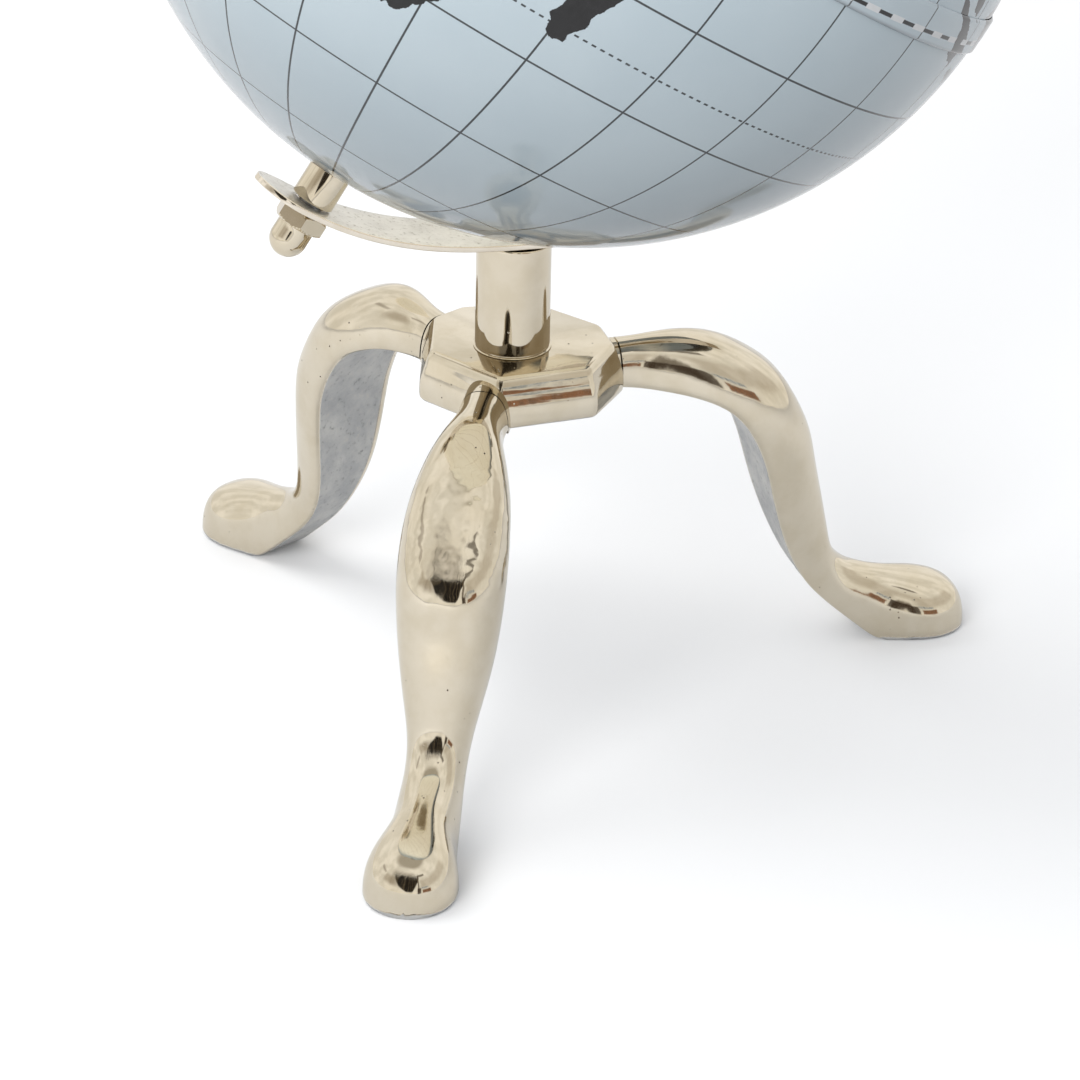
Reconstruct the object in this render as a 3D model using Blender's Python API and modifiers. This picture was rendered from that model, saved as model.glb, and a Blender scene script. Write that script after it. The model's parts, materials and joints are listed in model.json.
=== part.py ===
"""Desk globe on a three-legged cast stand.

A hollow two-piece globe turns on a tilted axle rod.  The rod is held by a
bent strip (the meridian arm), which is screwed to a short round post on a
hexagonal hub.  Three cabriole legs of D-shaped section are fastened to the
hub with threaded studs.

Frame: metres, +Z up, table top at z = 0.  The meridian arm lies in a plane
parallel to XZ, and the globe's axis leans towards +X.  The origin is the
centre of the object's footprint box on the table.
"""

import math
from typing import NamedTuple

import bmesh
import bpy
from mathutils import Matrix, Vector

MM = 0.001

# ---- driving dimensions (millimetres and degrees) -------------------------
POST_X = -14.4894          # post axis, measured from the footprint centre
GLOBE_R = 75.0             # 150 mm globe
GLOBE_OFFSET_X = 10.3      # globe centre, measured from the post axis
GLOBE_Z = 161.2            # globe centre above the table
TILT = 33.5                # lean of the globe's axis from the vertical
GAP = 0.3                  # clearance between resting neighbours

# Globe
SHELL = 1.6                # wall of the globe
POLE_HOLE_R = 5.0
RING_HALF_H = 4.0          # joint ring inside the seam
RING_T = 2.0
RING_CROWN = 0.2
BAND_HALF_ANGLE = 2.4      # tape over the seam
BAND_OUT = 0.6             # its outer face, above the globe's surface

# Bush in each pole hole; heights from the globe's centre
BUSH_BORE_R = 2.1          # running fit on the rod
BUSH_R = 4.7
BUSH_CHAMFER = 0.3
BUSH_PROUD = 0.1           # rise above the globe's surface
BUSH_FLANGE_R = 8.0
BUSH_FLANGE_TOP = 72.6
BUSH_FLANGE_T = 1.0
BUSH_BORE_FOOT = 72.9
BUSH_INNER_RISE = 0.6      # slope of the inner end, up to the bore
BUSH_INNER_RIM = 1.0

# Axle rod, spacers and cap nuts
AXLE_R = 2.0               # M4 rod
ROD_PAST_ARM = 5.9
SPACER_R = 3.6
SPACER_CHAMFER = 0.2
SPACER_SLACK = 0.2         # further clearance under the arm
CAP_SLACK = 0.1            # further clearance over the arm
CAP_HEX_R = 4.04           # across the corners
CAP_HEX_H = 2.8
CAP_TURN = 15.0
DOME_R = 3.15
DOME_CENTRE = 5.35         # above the cap nut's base
DOME_FOOT = 1.0
DOME_STEPS = 6

# Meridian arm
ARM_R = 82.3               # inner face of the meridian arm
ARM_DIP = 4.4              # flattening where the arm sits on the post
ARM_DIP_AT = -92.0         # angle of the flattened seat
ARM_DIP_WIDTH = 20.0
ARM_T = 1.0
ARM_HALF_W = 6.0
ARM_OVERHANG = 7.3         # degrees of arm past each pole
ARM_TIP = 5.5              # length of the rounded end, in degrees
ARM_TIP_STEPS = 8
ARM_BODY_STEPS = 76
ARM_TIP_MIN = 0.12         # share of the width left at the very end
SEAT_GUESS = -97.0         # angle at which the arm's radius over the post is read
POLE_ANGLES = {"south": -90.0 - TILT, "north": 90.0 - TILT}

# Arm screw
ARM_SCREW_R = 1.5
ARM_SCREW_DEPTH = 7.0      # reach below the top of the post
SCREW_HEAD_R = 2.7

# Post, and the stud, washer and nut under it
POST_R = 6.25
POST_CHAMFER = 0.4
POST_ALLOWANCE = 3.0       # extra height, removed by the sloping cut
POST_CUT = (40, 40, 20)    # block that makes the sloping cut
POST_STUD_R = 2.5
POST_STUD_UP = 8.0         # reach above the hub
POST_STUD_DOWN = 6.2       # reach below the recess's ceiling
WASHER_R = 6.0
WASHER_T = 1.0
NUT_R = 4.6                # across the corners
NUT_H = 4.0

# Hub
HUB_TOP = 63.0
HUB_H = 9.0
HUB_APOTHEM = 15.0
HUB_CHAMFER = 1.8
HUB_CHAMFER_ANGLE = 70.0   # only edges sharper than this are chamfered
HUB_X, HUB_Y = 1.5, 1.3    # the cast hub sits a little off the post axis
HUB_FLOOR = 3.5            # metal left above the recess for the nut
HUB_RECESS_R = 7.6
HUB_RECESS_TOP = HUB_TOP - HUB_FLOOR
HUB_DRILL_OVERRUN = 5.0
HUB_SHOULDER = {"right": (-4.8, 4.3), "left": (-4.3, 3.6)}  # sides of the hub at these necks
CORNER_ALLOWANCE = 0.3     # metal past the cut faces, removed by the corner cuts
CORNER_CUT = (10, 30, 30)  # block that cuts a corner square
CORNER_CUT_DROP = 5.0      # its centre, below the hub's top
STUB_START = 9.0           # inner end of the stubs that join hub and neck
STUB_PAST_NECK = 2.0

# Leg studs
STUD_R = 2.0
STUD_Z = 57.8
STUD_START, STUD_END = 8.5, 26.5
STUD_HOLE_EXTRA = 0.5      # extra length of the hole at each end


class Leg(NamedTuple):
    """How one casting of the common leg pattern is fitted."""

    azimuth: float
    aside: float           # sideways offset
    neck: float            # distance of the hub's cut face
    reach: float           # toe reach from the post axis
    knee_out: float        # shift of the knee from the pattern
    knee_up: float


LEGS = {
    "front": Leg(240.8, -1.8, 16.2, 81.5, 0.0, 0.0),
    "right": Leg(358.0, 0.0, 18.0, 83.4, 0.0, 0.0),
    "left": Leg(113.5, 0.0, 18.2, 78.3, 2.6, 1.7),
}
LEG_REACH = 81.3           # toe reach of the pattern

# Leg pattern, neck to toe: flat inner face (r, z), ridge of the rounded
# outer face (r, z), and half width.
LEG_STATIONS = (
    ((16.5, 54.4), (16.5, 61.7), 4.3),
    ((19.5, 54.1), (19.8, 61.7), 4.1),
    ((23.0, 53.5), (24.2, 61.9), 4.8),
    ((27.0, 52.5), (29.0, 61.7), 6.1),
    ((31.0, 51.2), (34.6, 60.2), 7.4),
    ((34.6, 49.3), (39.9, 57.3), 8.3),
    ((37.4, 46.3), (44.5, 53.6), 8.8),
    ((39.6, 42.4), (48.0, 48.3), 9.0),
    ((41.3, 38.0), (50.3, 42.6), 8.9),
    ((42.6, 33.0), (51.8, 36.4), 8.5),
    ((43.9, 28.3), (53.3, 31.0), 7.9),
    ((45.3, 24.0), (54.6, 25.8), 7.1),
    ((46.9, 20.0), (55.6, 21.2), 6.2),
    ((48.8, 16.0), (56.5, 17.8), 5.4),
    ((51.2, 12.2), (57.8, 15.8), 5.0),
    ((54.6, 8.6), (59.6, 14.3), 5.0),
    ((59.3, 4.4), (62.0, 13.2), 5.3),
    ((64.3, 0.0), (65.4, 12.1), 5.7),
    ((68.0, 0.0), (68.6, 11.3), 6.6),
    ((71.6, 0.0), (71.9, 10.6), 7.5),
    ((74.9, 0.0), (75.1, 9.8), 7.6),
    ((77.7, 0.0), (77.8, 8.7), 6.8),
    ((79.6, 0.0), (79.7, 7.3), 5.5),
    ((80.8, 0.0), (80.8, 5.5), 3.9),
    ((81.3, 0.0), (81.3, 3.6), 2.1),
)
LEG_FULLNESS = 2.5         # superellipse exponent of the rounded side
LEG_ARC = 12               # facets round the curved side
# Blends along the leg, each (start, length)
REACH_BLEND_LENGTH = 14.0  # starts at the neck
KNEE_BLEND_Z = (18.0, 24.0)
KNEE_BLEND_R = (18.0, 12.0)

# Facets
SEGMENTS = 40              # globe
SMALL = 32                 # turned parts
FINE = 24                  # screws, studs and their holes
GLOBE_ROWS = 14            # each hemisphere, pole to equator
SMOOTH_ANGLE = 35.0        # sharper edges are shaded sharp

# Collections and materials, by name
PARTS, CUTTERS = "desk_globe", "cutters"
NICKEL = "polished_nickel"
STEEL = "zinc_plated_steel"
PLASTIC = "globe_plastic"
NYLON = "white_nylon"
TAPE = "printed_tape"


# ---- scene ----------------------------------------------------------------
def clear_scene():
    for obj in list(bpy.data.objects):
        bpy.data.objects.remove(obj, do_unlink=True)


def make_collection(name, hidden):
    made = bpy.data.collections.new(name)
    bpy.context.scene.collection.children.link(made)
    made.hide_render = hidden


def make_material(name, colour, roughness, metallic):
    made = bpy.data.materials.new(name)
    made.use_nodes = True
    shader = made.node_tree.nodes["Principled BSDF"]
    shader.inputs["Base Color"].default_value = (*colour, 1.0)
    shader.inputs["Roughness"].default_value = roughness
    shader.inputs["Metallic"].default_value = metallic


def make_materials():
    make_material(NICKEL, colour=(0.80, 0.76, 0.68), roughness=0.10, metallic=1.0)
    make_material(STEEL, colour=(0.62, 0.63, 0.65), roughness=0.35, metallic=1.0)
    make_material(PLASTIC, colour=(0.47, 0.55, 0.62), roughness=0.12, metallic=0.0)
    make_material(NYLON, colour=(0.82, 0.82, 0.80), roughness=0.45, metallic=0.0)
    make_material(TAPE, colour=(0.55, 0.61, 0.66), roughness=0.25, metallic=0.0)


# ---- helpers --------------------------------------------------------------
def add_object(name, mesh, parent, mat=None):
    """Add a part, or a hidden cutter when no material is given."""
    obj = bpy.data.objects.new(name, mesh)
    bpy.data.collections[PARTS if mat else CUTTERS].objects.link(obj)
    obj.parent = parent
    if mat:
        mesh.materials.append(bpy.data.materials[mat])
    else:
        obj.hide_render = True
        obj.display_type = "WIRE"
    return obj


def add_empty(name, location, rotation=(0.0, 0.0, 0.0), parent=None):
    """A frame for parts; location in millimetres."""
    obj = bpy.data.objects.new(name, None)
    bpy.data.collections[PARTS].objects.link(obj)
    obj.location = [value * MM for value in location]
    obj.rotation_euler = rotation
    obj.parent = parent
    return obj


def finish_mesh(bm, name):
    bmesh.ops.recalc_face_normals(bm, faces=bm.faces)
    mesh = bpy.data.meshes.new(name)
    bm.to_mesh(mesh)
    bm.free()
    mesh.shade_smooth()
    mesh.set_sharp_from_angle(angle=math.radians(SMOOTH_ANGLE))
    return mesh


def turned(name, profile, parent, mat=None, steps=SMALL, closed=False):
    """A solid turned about local Z; the profile (r, z) runs down its outer side."""
    mesh = bpy.data.meshes.new(name)
    count = len(profile)
    edges = [(i, i + 1) for i in range(count - 1)]
    if closed:
        edges.append((count - 1, 0))
    mesh.from_pydata([(r * MM, 0.0, z * MM) for r, z in profile], edges, [])
    obj = add_object(name, mesh, parent, mat)
    screw = obj.modifiers.new("turn", "SCREW")
    screw.axis = "Z"
    screw.angle = math.tau
    screw.steps = screw.render_steps = steps
    screw.use_merge_vertices = True
    screw.merge_threshold = 0.00001
    screw.use_smooth_shade = True
    return obj


def cylinder_bmesh(sides, radius, length):
    """A prism or cylinder along Z, centred on the origin."""
    bm = bmesh.new()
    bmesh.ops.create_cone(
        bm, cap_ends=True, segments=sides,
        radius1=radius * MM, radius2=radius * MM, depth=length * MM,
    )
    return bm


def prism(name, sides, radius, bottom, top, parent, mat=None, turn=0.0):
    """An upright prism or cylinder; turn is the azimuth of its first corner in degrees."""
    bm = cylinder_bmesh(sides, radius, top - bottom)
    # create_cone puts its first corner on +Y
    spin = Matrix.Rotation(math.radians(turn - 90), 3, "Z")
    bmesh.ops.rotate(bm, verts=bm.verts, matrix=spin)
    bmesh.ops.translate(bm, verts=bm.verts, vec=(0, 0, (bottom + top) / 2 * MM))
    return add_object(name, finish_mesh(bm, name), parent, mat)


def rod_mesh(name, radius, start, end, z):
    """A cylinder along +X at height z."""
    bm = cylinder_bmesh(FINE, radius, end - start)
    bmesh.ops.rotate(bm, verts=bm.verts, matrix=Matrix.Rotation(math.pi / 2, 3, "Y"))
    bmesh.ops.translate(bm, verts=bm.verts, vec=((start + end) / 2 * MM, 0, z * MM))
    return finish_mesh(bm, name)


def block_mesh(name, size, centre, slope=0.0, lift=0.0):
    """A box, then sloped upwards along +X about the origin, then lifted."""
    bm = bmesh.new()
    bmesh.ops.create_cube(bm, size=1.0)
    bmesh.ops.scale(bm, verts=bm.verts, vec=[value * MM for value in size])
    bmesh.ops.translate(bm, verts=bm.verts, vec=[value * MM for value in centre])
    bmesh.ops.rotate(bm, verts=bm.verts, matrix=Matrix.Rotation(-slope, 3, "Y"))
    bmesh.ops.translate(bm, verts=bm.verts, vec=(0, 0, lift * MM))
    return finish_mesh(bm, name)


def loft_mesh(name, sections):
    """A solid through a row of closed sections with equal point counts, in millimetres."""
    bm = bmesh.new()
    rings = [
        [bm.verts.new((x * MM, y * MM, z * MM)) for x, y, z in section]
        for section in sections
    ]
    bm.faces.new(rings[0])
    bm.faces.new(rings[-1])
    count = len(rings[0])
    for near, far in zip(rings, rings[1:]):
        for i in range(count):
            j = (i + 1) % count
            bm.faces.new((near[i], near[j], far[j], far[i]))
    return finish_mesh(bm, name)


def boolean(obj, other, operation="DIFFERENCE"):
    made = obj.modifiers.new(operation.lower(), "BOOLEAN")
    made.operation = operation
    made.solver = "EXACT"
    made.object = other


def drill(obj, name, radius, bottom, top, parent, sides=FINE):
    """Cut a round hole along the parent's Z axis."""
    boolean(obj, prism(name, sides, radius, bottom, top, parent))


def smoothstep(x):
    x = min(max(x, 0.0), 1.0)
    return x * x * (3 - 2 * x)


def arc(radius, start, end, count):
    """Points (r, z) on a circle about the origin, from one latitude to another."""
    latitudes = [math.radians(start + (end - start) * i / count) for i in range(count + 1)]
    return [(radius * math.cos(a), radius * math.sin(a)) for a in latitudes]


def turned_point(x, y, turn):
    """A plan point turned about the post axis by an angle in radians."""
    return x * math.cos(turn) - y * math.sin(turn), x * math.sin(turn) + y * math.cos(turn)


# ---- path of the meridian arm; angles in degrees from +X towards +Z -------
def arm_radius(theta):
    """Inner radius of the meridian arm, flattened where it sits on the post."""
    return ARM_R - ARM_DIP * math.exp(-(((theta - ARM_DIP_AT) / ARM_DIP_WIDTH) ** 2))


def arm_point(theta, extra=0.0):
    angle = math.radians(theta)
    radius = arm_radius(theta) + extra
    return Vector((radius * math.cos(angle), 0.0, radius * math.sin(angle)))


def arm_tangent(theta):
    step = 0.05
    return (arm_point(theta + step) - arm_point(theta - step)).normalized()


def post_seat():
    """Height of the post's top on its axis, and its slope in radians."""
    reach = arm_radius(SEAT_GUESS) + ARM_T
    theta = -90.0 - math.degrees(math.asin(GLOBE_OFFSET_X / reach))
    tangent = arm_tangent(theta)
    post_top = GLOBE_Z + arm_point(theta, ARM_T).z - GAP
    return post_top, math.atan2(tangent.z, tangent.x)


def arm_mesh():
    """The strip as rectangles swept round its path, with rounded ends."""
    first = POLE_ANGLES["south"] - ARM_OVERHANG
    last = POLE_ANGLES["north"] + ARM_OVERHANG
    tip = [
        ARM_TIP * (1 - math.cos(math.pi / 2 * i / ARM_TIP_STEPS))
        for i in range(ARM_TIP_STEPS + 1)
    ]
    angles = [first + step for step in tip]
    for i in range(1, ARM_BODY_STEPS):
        angles.append(first + ARM_TIP + (last - first - 2 * ARM_TIP) * i / ARM_BODY_STEPS)
    angles += [last - step for step in reversed(tip)]

    sections = []
    for theta in angles:
        end = min(theta - first, last - theta) / ARM_TIP
        share = 1.0 if end >= 1 else math.sqrt(max(1 - (1 - end) ** 2, 0.0))
        half = ARM_HALF_W * max(share, ARM_TIP_MIN)
        tangent = arm_tangent(theta)
        outward = Vector((tangent.z, 0.0, -tangent.x))
        section = []
        for depth, side in ((0, -1), (0, 1), (ARM_T, 1), (ARM_T, -1)):
            point = arm_point(theta) + outward * depth
            section.append((point.x, side * half, point.z))
        sections.append(section)
    return loft_mesh("meridian_arm", sections)


# ---- leg and hub shapes ---------------------------------------------------
def d_section(half_width):
    """Points (across, depth): depth is 0 on the flat side and 1 on the ridge."""
    points = []
    for i in range(LEG_ARC + 1):
        angle = math.pi * i / LEG_ARC
        cosine = math.cos(angle)
        across = math.copysign(abs(cosine) ** (2 / LEG_FULLNESS), cosine) * half_width
        depth = math.sin(angle) ** (2 / LEG_FULLNESS) if 0 < i < LEG_ARC else 0.0
        if i == LEG_ARC // 2:
            across = 0.0
        points.append((across, depth))
    return points


def leg_mesh(name, leg):
    """A D-section leg along +X: flat towards the post, rounded outside."""
    z_start, z_length = KNEE_BLEND_Z
    r_start, r_length = KNEE_BLEND_R
    sections = []
    for (flat_r, flat_z), (ridge_r, ridge_z), half_width in LEG_STATIONS:
        middle_r = 0.5 * (flat_r + ridge_r)
        middle_z = 0.5 * (flat_z + ridge_z)
        knee = (smoothstep((middle_z - z_start) / z_length)
                * smoothstep((middle_r - r_start) / r_length))
        if sections:
            stretch = smoothstep((middle_r - leg.neck) / REACH_BLEND_LENGTH)
            shift = (leg.reach - LEG_REACH) * stretch + leg.knee_out * knee
        else:                                # the neck's face, clear of the hub
            shift = leg.neck + GAP - flat_r
        sections.append([
            (flat_r + (ridge_r - flat_r) * depth + shift,
             across,
             flat_z + (ridge_z - flat_z) * depth + leg.knee_up * knee)
            for across, depth in d_section(half_width)
        ])
    return loft_mesh(name, sections)


def stub_mesh(start, end):
    """The neck's D section carried straight along X."""
    (_, low), (_, high), half_width = LEG_STATIONS[0]
    return loft_mesh("hub_stub", [
        [(x, across, low + (high - low) * depth) for across, depth in d_section(half_width)]
        for x in (start, end)
    ])


def hub_mesh():
    """A hexagonal prism with its right and left corners squared off.

    Those two are placed by HUB_SHOULDER; the numbers are azimuths of plain corners.
    """
    circumradius = HUB_APOTHEM / math.cos(math.pi / 6)
    plan = []
    for corner in ("right", 60, "left", 180, 240, 300):
        if corner in LEGS:
            leg = LEGS[corner]
            for across in HUB_SHOULDER[corner]:
                plan.append(turned_point(
                    leg.neck + CORNER_ALLOWANCE, across + leg.aside, math.radians(leg.azimuth)))
        else:
            turn = math.radians(corner)
            plan.append((HUB_X + circumradius * math.cos(turn),
                         HUB_Y + circumradius * math.sin(turn)))
    return loft_mesh("base_hub", [[(x, y, z) for x, y in plan] for z in (HUB_TOP - HUB_H, HUB_TOP)])


# ---- stand ----------------------------------------------------------------
def leg_place(leg):
    """Location in millimetres and rotation of a leg's own frame."""
    turn = math.radians(leg.azimuth)
    return (-leg.aside * math.sin(turn), leg.aside * math.cos(turn), 0.0), (0.0, 0.0, turn)


def build_hub(frame):
    """A chamfered hexagon with a stub for each leg, bored and recessed for the post stud."""
    hub = add_object("base_hub", hub_mesh(), frame, NICKEL)
    bevel = hub.modifiers.new("chamfer", "BEVEL")
    bevel.width = HUB_CHAMFER * MM
    bevel.segments = 1
    bevel.limit_method = "ANGLE"
    bevel.angle_limit = math.radians(HUB_CHAMFER_ANGLE)
    for leg in LEGS.values():
        # stub that carries the leg's neck section into the hub
        stub = add_object("hub_stub", stub_mesh(STUB_START, leg.neck + STUB_PAST_NECK), frame)
        location, rotation = leg_place(leg)
        stub.location = [value * MM for value in location]
        stub.rotation_euler = rotation
        boolean(hub, stub, "UNION")
    bottom = HUB_TOP - HUB_H - HUB_DRILL_OVERRUN
    drill(hub, "hub_bore", POST_STUD_R + GAP, bottom, HUB_TOP + HUB_DRILL_OVERRUN, frame, SMALL)
    drill(hub, "hub_recess", HUB_RECESS_R, bottom, HUB_RECESS_TOP, frame, SMALL)
    return hub


def build_leg(name, leg, hub, frame):
    """A leg with its stud, and the cuts they need in the hub."""
    location, rotation = leg_place(leg)
    hold = add_empty("hold_" + name, location, rotation, frame)
    casting = add_object("leg_" + name, leg_mesh("leg_" + name, leg), hold, NICKEL)
    # corner of the hub cut square for the neck
    centre = (leg.neck + CORNER_CUT[0] / 2, 0, HUB_TOP - CORNER_CUT_DROP)
    boolean(hub, add_object("corner_" + name, block_mesh("corner", CORNER_CUT, centre), hold))
    # threaded stud, and its hole through the hub and the leg
    stud = rod_mesh("stud", STUD_R, STUD_START, STUD_END, STUD_Z)
    add_object("leg_stud_" + name, stud, hold, STEEL)
    hole = rod_mesh("hole", STUD_R + GAP,
                    STUD_START - STUD_HOLE_EXTRA, STUD_END + STUD_HOLE_EXTRA, STUD_Z)
    cutter = add_object("drill_" + name, hole, hold)
    boolean(hub, cutter)
    boolean(casting, cutter)


def build_post(frame):
    """Turned rod, its top cut to the slope of the arm's seat."""
    post_top, slope = post_seat()
    foot = HUB_TOP + GAP
    blank_top = post_top + POST_ALLOWANCE
    post = turned(
        "post",
        [(0, blank_top), (POST_R, blank_top), (POST_R, foot + POST_CHAMFER),
         (POST_R - POST_CHAMFER, foot), (0, foot)],
        frame, NICKEL,
    )
    cut = block_mesh("cut", POST_CUT, (0, 0, POST_CUT[2] / 2), slope, post_top)
    boolean(post, add_object("post_top_cut", cut, frame))
    # both drills start a few millimetres outside the post
    drill(post, "post_foot_drill", POST_STUD_R + GAP,
          HUB_TOP - 3, HUB_TOP + POST_STUD_UP + GAP, frame, SMALL)
    drill(post, "post_top_drill", ARM_SCREW_R + GAP,
          post_top - ARM_SCREW_DEPTH - GAP, post_top + 4, frame)


def build_post_fixings(frame):
    """Post stud, washer and nut, up in the hub's recess."""
    stud_top = HUB_TOP + POST_STUD_UP
    stud_foot = HUB_RECESS_TOP - POST_STUD_DOWN
    turned("post_stud",
           [(0, stud_top), (POST_STUD_R, stud_top), (POST_STUD_R, stud_foot), (0, stud_foot)],
           frame, STEEL)
    bore = POST_STUD_R + GAP
    washer_top = HUB_RECESS_TOP - GAP
    washer_foot = washer_top - WASHER_T
    turned("hub_washer",
           [(WASHER_R, washer_top), (WASHER_R, washer_foot), (bore, washer_foot),
            (bore, washer_top)],
           frame, STEEL, closed=True)
    nut_top = washer_foot - GAP
    nut = prism("hub_nut", 6, NUT_R, nut_top - NUT_H, nut_top, frame, STEEL)
    # the drill runs clear of both faces of the nut
    drill(nut, "nut_drill", bore, HUB_RECESS_TOP - 9, HUB_RECESS_TOP + 2, frame)


def build_arm(frame, arm_frame, holds):
    """Meridian arm, drilled at both poles and for the seat screw."""
    post_top, _ = post_seat()
    arm = add_object("meridian_arm", arm_mesh(), arm_frame, NICKEL)
    # each drill starts and ends a few millimetres clear of the strip
    for side, hold in holds.items():
        drill(arm, side + "_drill", AXLE_R + GAP, 3, 12, hold)
    drill(arm, "seat_drill", ARM_SCREW_R + GAP, post_top - 4, post_top + 5, frame)

    head = post_top + GAP + ARM_T + GAP
    screw_foot = post_top - ARM_SCREW_DEPTH
    turned("arm_screw",
           [(0, head + 1.2), (2.0, head + 1.0), (SCREW_HEAD_R, head + 0.3), (SCREW_HEAD_R, head),
            (ARM_SCREW_R, head), (ARM_SCREW_R, screw_foot), (0, screw_foot)],
           frame, STEEL, steps=FINE)


# ---- axle and globe -------------------------------------------------------
def arm_face(side):
    """Height of the arm's inner face above the globe's surface at a pole."""
    return arm_radius(POLE_ANGLES[side]) - GLOBE_R


def rod_end(side):
    """Height of the rod's end above the globe's surface."""
    return arm_face(side) + ARM_T + ROD_PAST_ARM


def build_axle_rod(axle_frame):
    north = GLOBE_R + rod_end("north")
    south = -GLOBE_R - rod_end("south")
    turned("axle_rod", [(0, north), (AXLE_R, north), (AXLE_R, south), (0, south)],
           axle_frame, STEEL)


def build_spacer(side, hold):
    """Sleeve between the bush and the arm."""
    foot = BUSH_PROUD + GAP
    top = arm_face(side) - GAP - SPACER_SLACK
    rim = SPACER_R - SPACER_CHAMFER
    bore = AXLE_R + GAP
    turned(side + "_spacer",
           [(rim, top), (SPACER_R, top - SPACER_CHAMFER), (SPACER_R, foot + SPACER_CHAMFER),
            (rim, foot), (bore, foot), (bore, top)],
           hold, NICKEL, closed=True)


def build_cap_nut(side, hold):
    """Domed hexagonal nut outside the arm, with a blind hole for the rod."""
    base = arm_face(side) + ARM_T + GAP + CAP_SLACK
    cap = prism(side + "_cap_nut", 6, CAP_HEX_R, base, base + CAP_HEX_H, hold, NICKEL,
                turn=CAP_TURN)
    dome = []
    for i in range(DOME_STEPS + 1):
        angle = math.pi / 2 * i / DOME_STEPS
        dome.append((DOME_R * math.sin(angle), base + DOME_CENTRE + DOME_R * math.cos(angle)))
    dome += [(DOME_R, base + DOME_FOOT), (0.0, base + DOME_FOOT)]
    boolean(cap, turned(side + "_dome", dome, hold, steps=FINE), "UNION")
    # the drill starts below the nut
    drill(cap, side + "_cap_drill", AXLE_R + GAP, base - 3, rod_end(side) + GAP, hold)


def build_bush(side, spin):
    """Flanged bush glued in the pole hole."""
    lip = GLOBE_R + BUSH_PROUD
    flange_foot = BUSH_FLANGE_TOP - BUSH_FLANGE_T
    turned(side + "_bush",
           [(BUSH_R - BUSH_CHAMFER, lip), (BUSH_R, lip - BUSH_CHAMFER),
            (BUSH_R, BUSH_FLANGE_TOP), (BUSH_FLANGE_R, BUSH_FLANGE_TOP),
            (BUSH_FLANGE_R, flange_foot), (BUSH_R + BUSH_INNER_RIM, flange_foot),
            (BUSH_R, BUSH_BORE_FOOT - BUSH_INNER_RISE),
            (BUSH_BORE_R, BUSH_BORE_FOOT), (BUSH_BORE_R, lip)],
           spin, NYLON, closed=True)


def build_hemisphere(side, spin):
    """Half shell, open at the pole hole and at the equator."""
    inner = GLOBE_R - SHELL
    pole_out = math.degrees(math.acos(POLE_HOLE_R / GLOBE_R))
    pole_in = math.degrees(math.acos(POLE_HOLE_R / inner))
    edge = math.degrees(math.asin(GAP / 2 / GLOBE_R))
    profile = arc(GLOBE_R, pole_out, edge, GLOBE_ROWS) + arc(inner, edge, pole_in, GLOBE_ROWS)
    turned(side + "_hemisphere", profile, spin, PLASTIC, steps=SEGMENTS, closed=True)


def build_seam(spin_frame):
    """Ring that joins the halves inside, and the printed tape over the seam."""
    outer = GLOBE_R - SHELL - GAP
    turned("joint_ring",
           [(outer - RING_CROWN, RING_HALF_H), (outer, 0.0), (outer - RING_CROWN, -RING_HALF_H),
            (outer - RING_T, -RING_HALF_H), (outer - RING_T, RING_HALF_H)],
           spin_frame, NYLON, steps=SEGMENTS, closed=True)
    band = (arc(GLOBE_R + BAND_OUT, BAND_HALF_ANGLE, -BAND_HALF_ANGLE, 2)
            + arc(GLOBE_R + GAP, -BAND_HALF_ANGLE, BAND_HALF_ANGLE, 2))
    turned("equator_band", band, spin_frame, TAPE, steps=SEGMENTS, closed=True)


# ---- the object -----------------------------------------------------------
def build():
    clear_scene()
    make_collection(PARTS, hidden=False)
    make_collection(CUTTERS, hidden=True)
    make_materials()

    frame = add_empty("stand_frame", (POST_X, 0.0, 0.0))
    tilt = (0.0, math.radians(TILT), 0.0)
    centre = (GLOBE_OFFSET_X, 0.0, GLOBE_Z)
    arm_frame = add_empty("arm_frame", centre, parent=frame)
    axle_frame = add_empty("axle_frame", centre, tilt, frame)
    spin_frame = add_empty("spin_frame", centre, tilt, frame)
    # in each hold, local +Z runs outwards along the rod, from the globe's surface
    holds = {
        "south": add_empty("hold_south", (0, 0, -GLOBE_R), (0, math.pi, 0), axle_frame),
        "north": add_empty("hold_north", (0, 0, GLOBE_R), (0, 0, 0), axle_frame),
    }

    hub = build_hub(frame)
    for name, leg in LEGS.items():
        build_leg(name, leg, hub, frame)
    build_post(frame)
    build_post_fixings(frame)
    build_arm(frame, arm_frame, holds)

    build_axle_rod(axle_frame)
    for side, hold in holds.items():
        # local +Z runs outwards from the globe's centre
        flip = math.pi if side == "south" else 0
        spin = add_empty("spin_" + side, (0, 0, 0), (flip, 0, 0), spin_frame)
        build_spacer(side, hold)
        build_cap_nut(side, hold)
        build_bush(side, spin)
        build_hemisphere(side, spin)
    build_seam(spin_frame)


build()
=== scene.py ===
"""Desk globe: fine meshes and procedural materials over its CAD pieces.

In the frame (metres, +Z up) three legs stand on z = 0 round a hub and an upright post. The
post carries a curved strip, which holds the globe's axle, tilted towards +X in the XZ plane.
Shapes are worked out in millimetres and scaled by MM.
"""
import json
import math
from functools import reduce

import bmesh
import bpy
import numpy as np
from mathutils import Matrix, Vector, kdtree, noise


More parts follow.
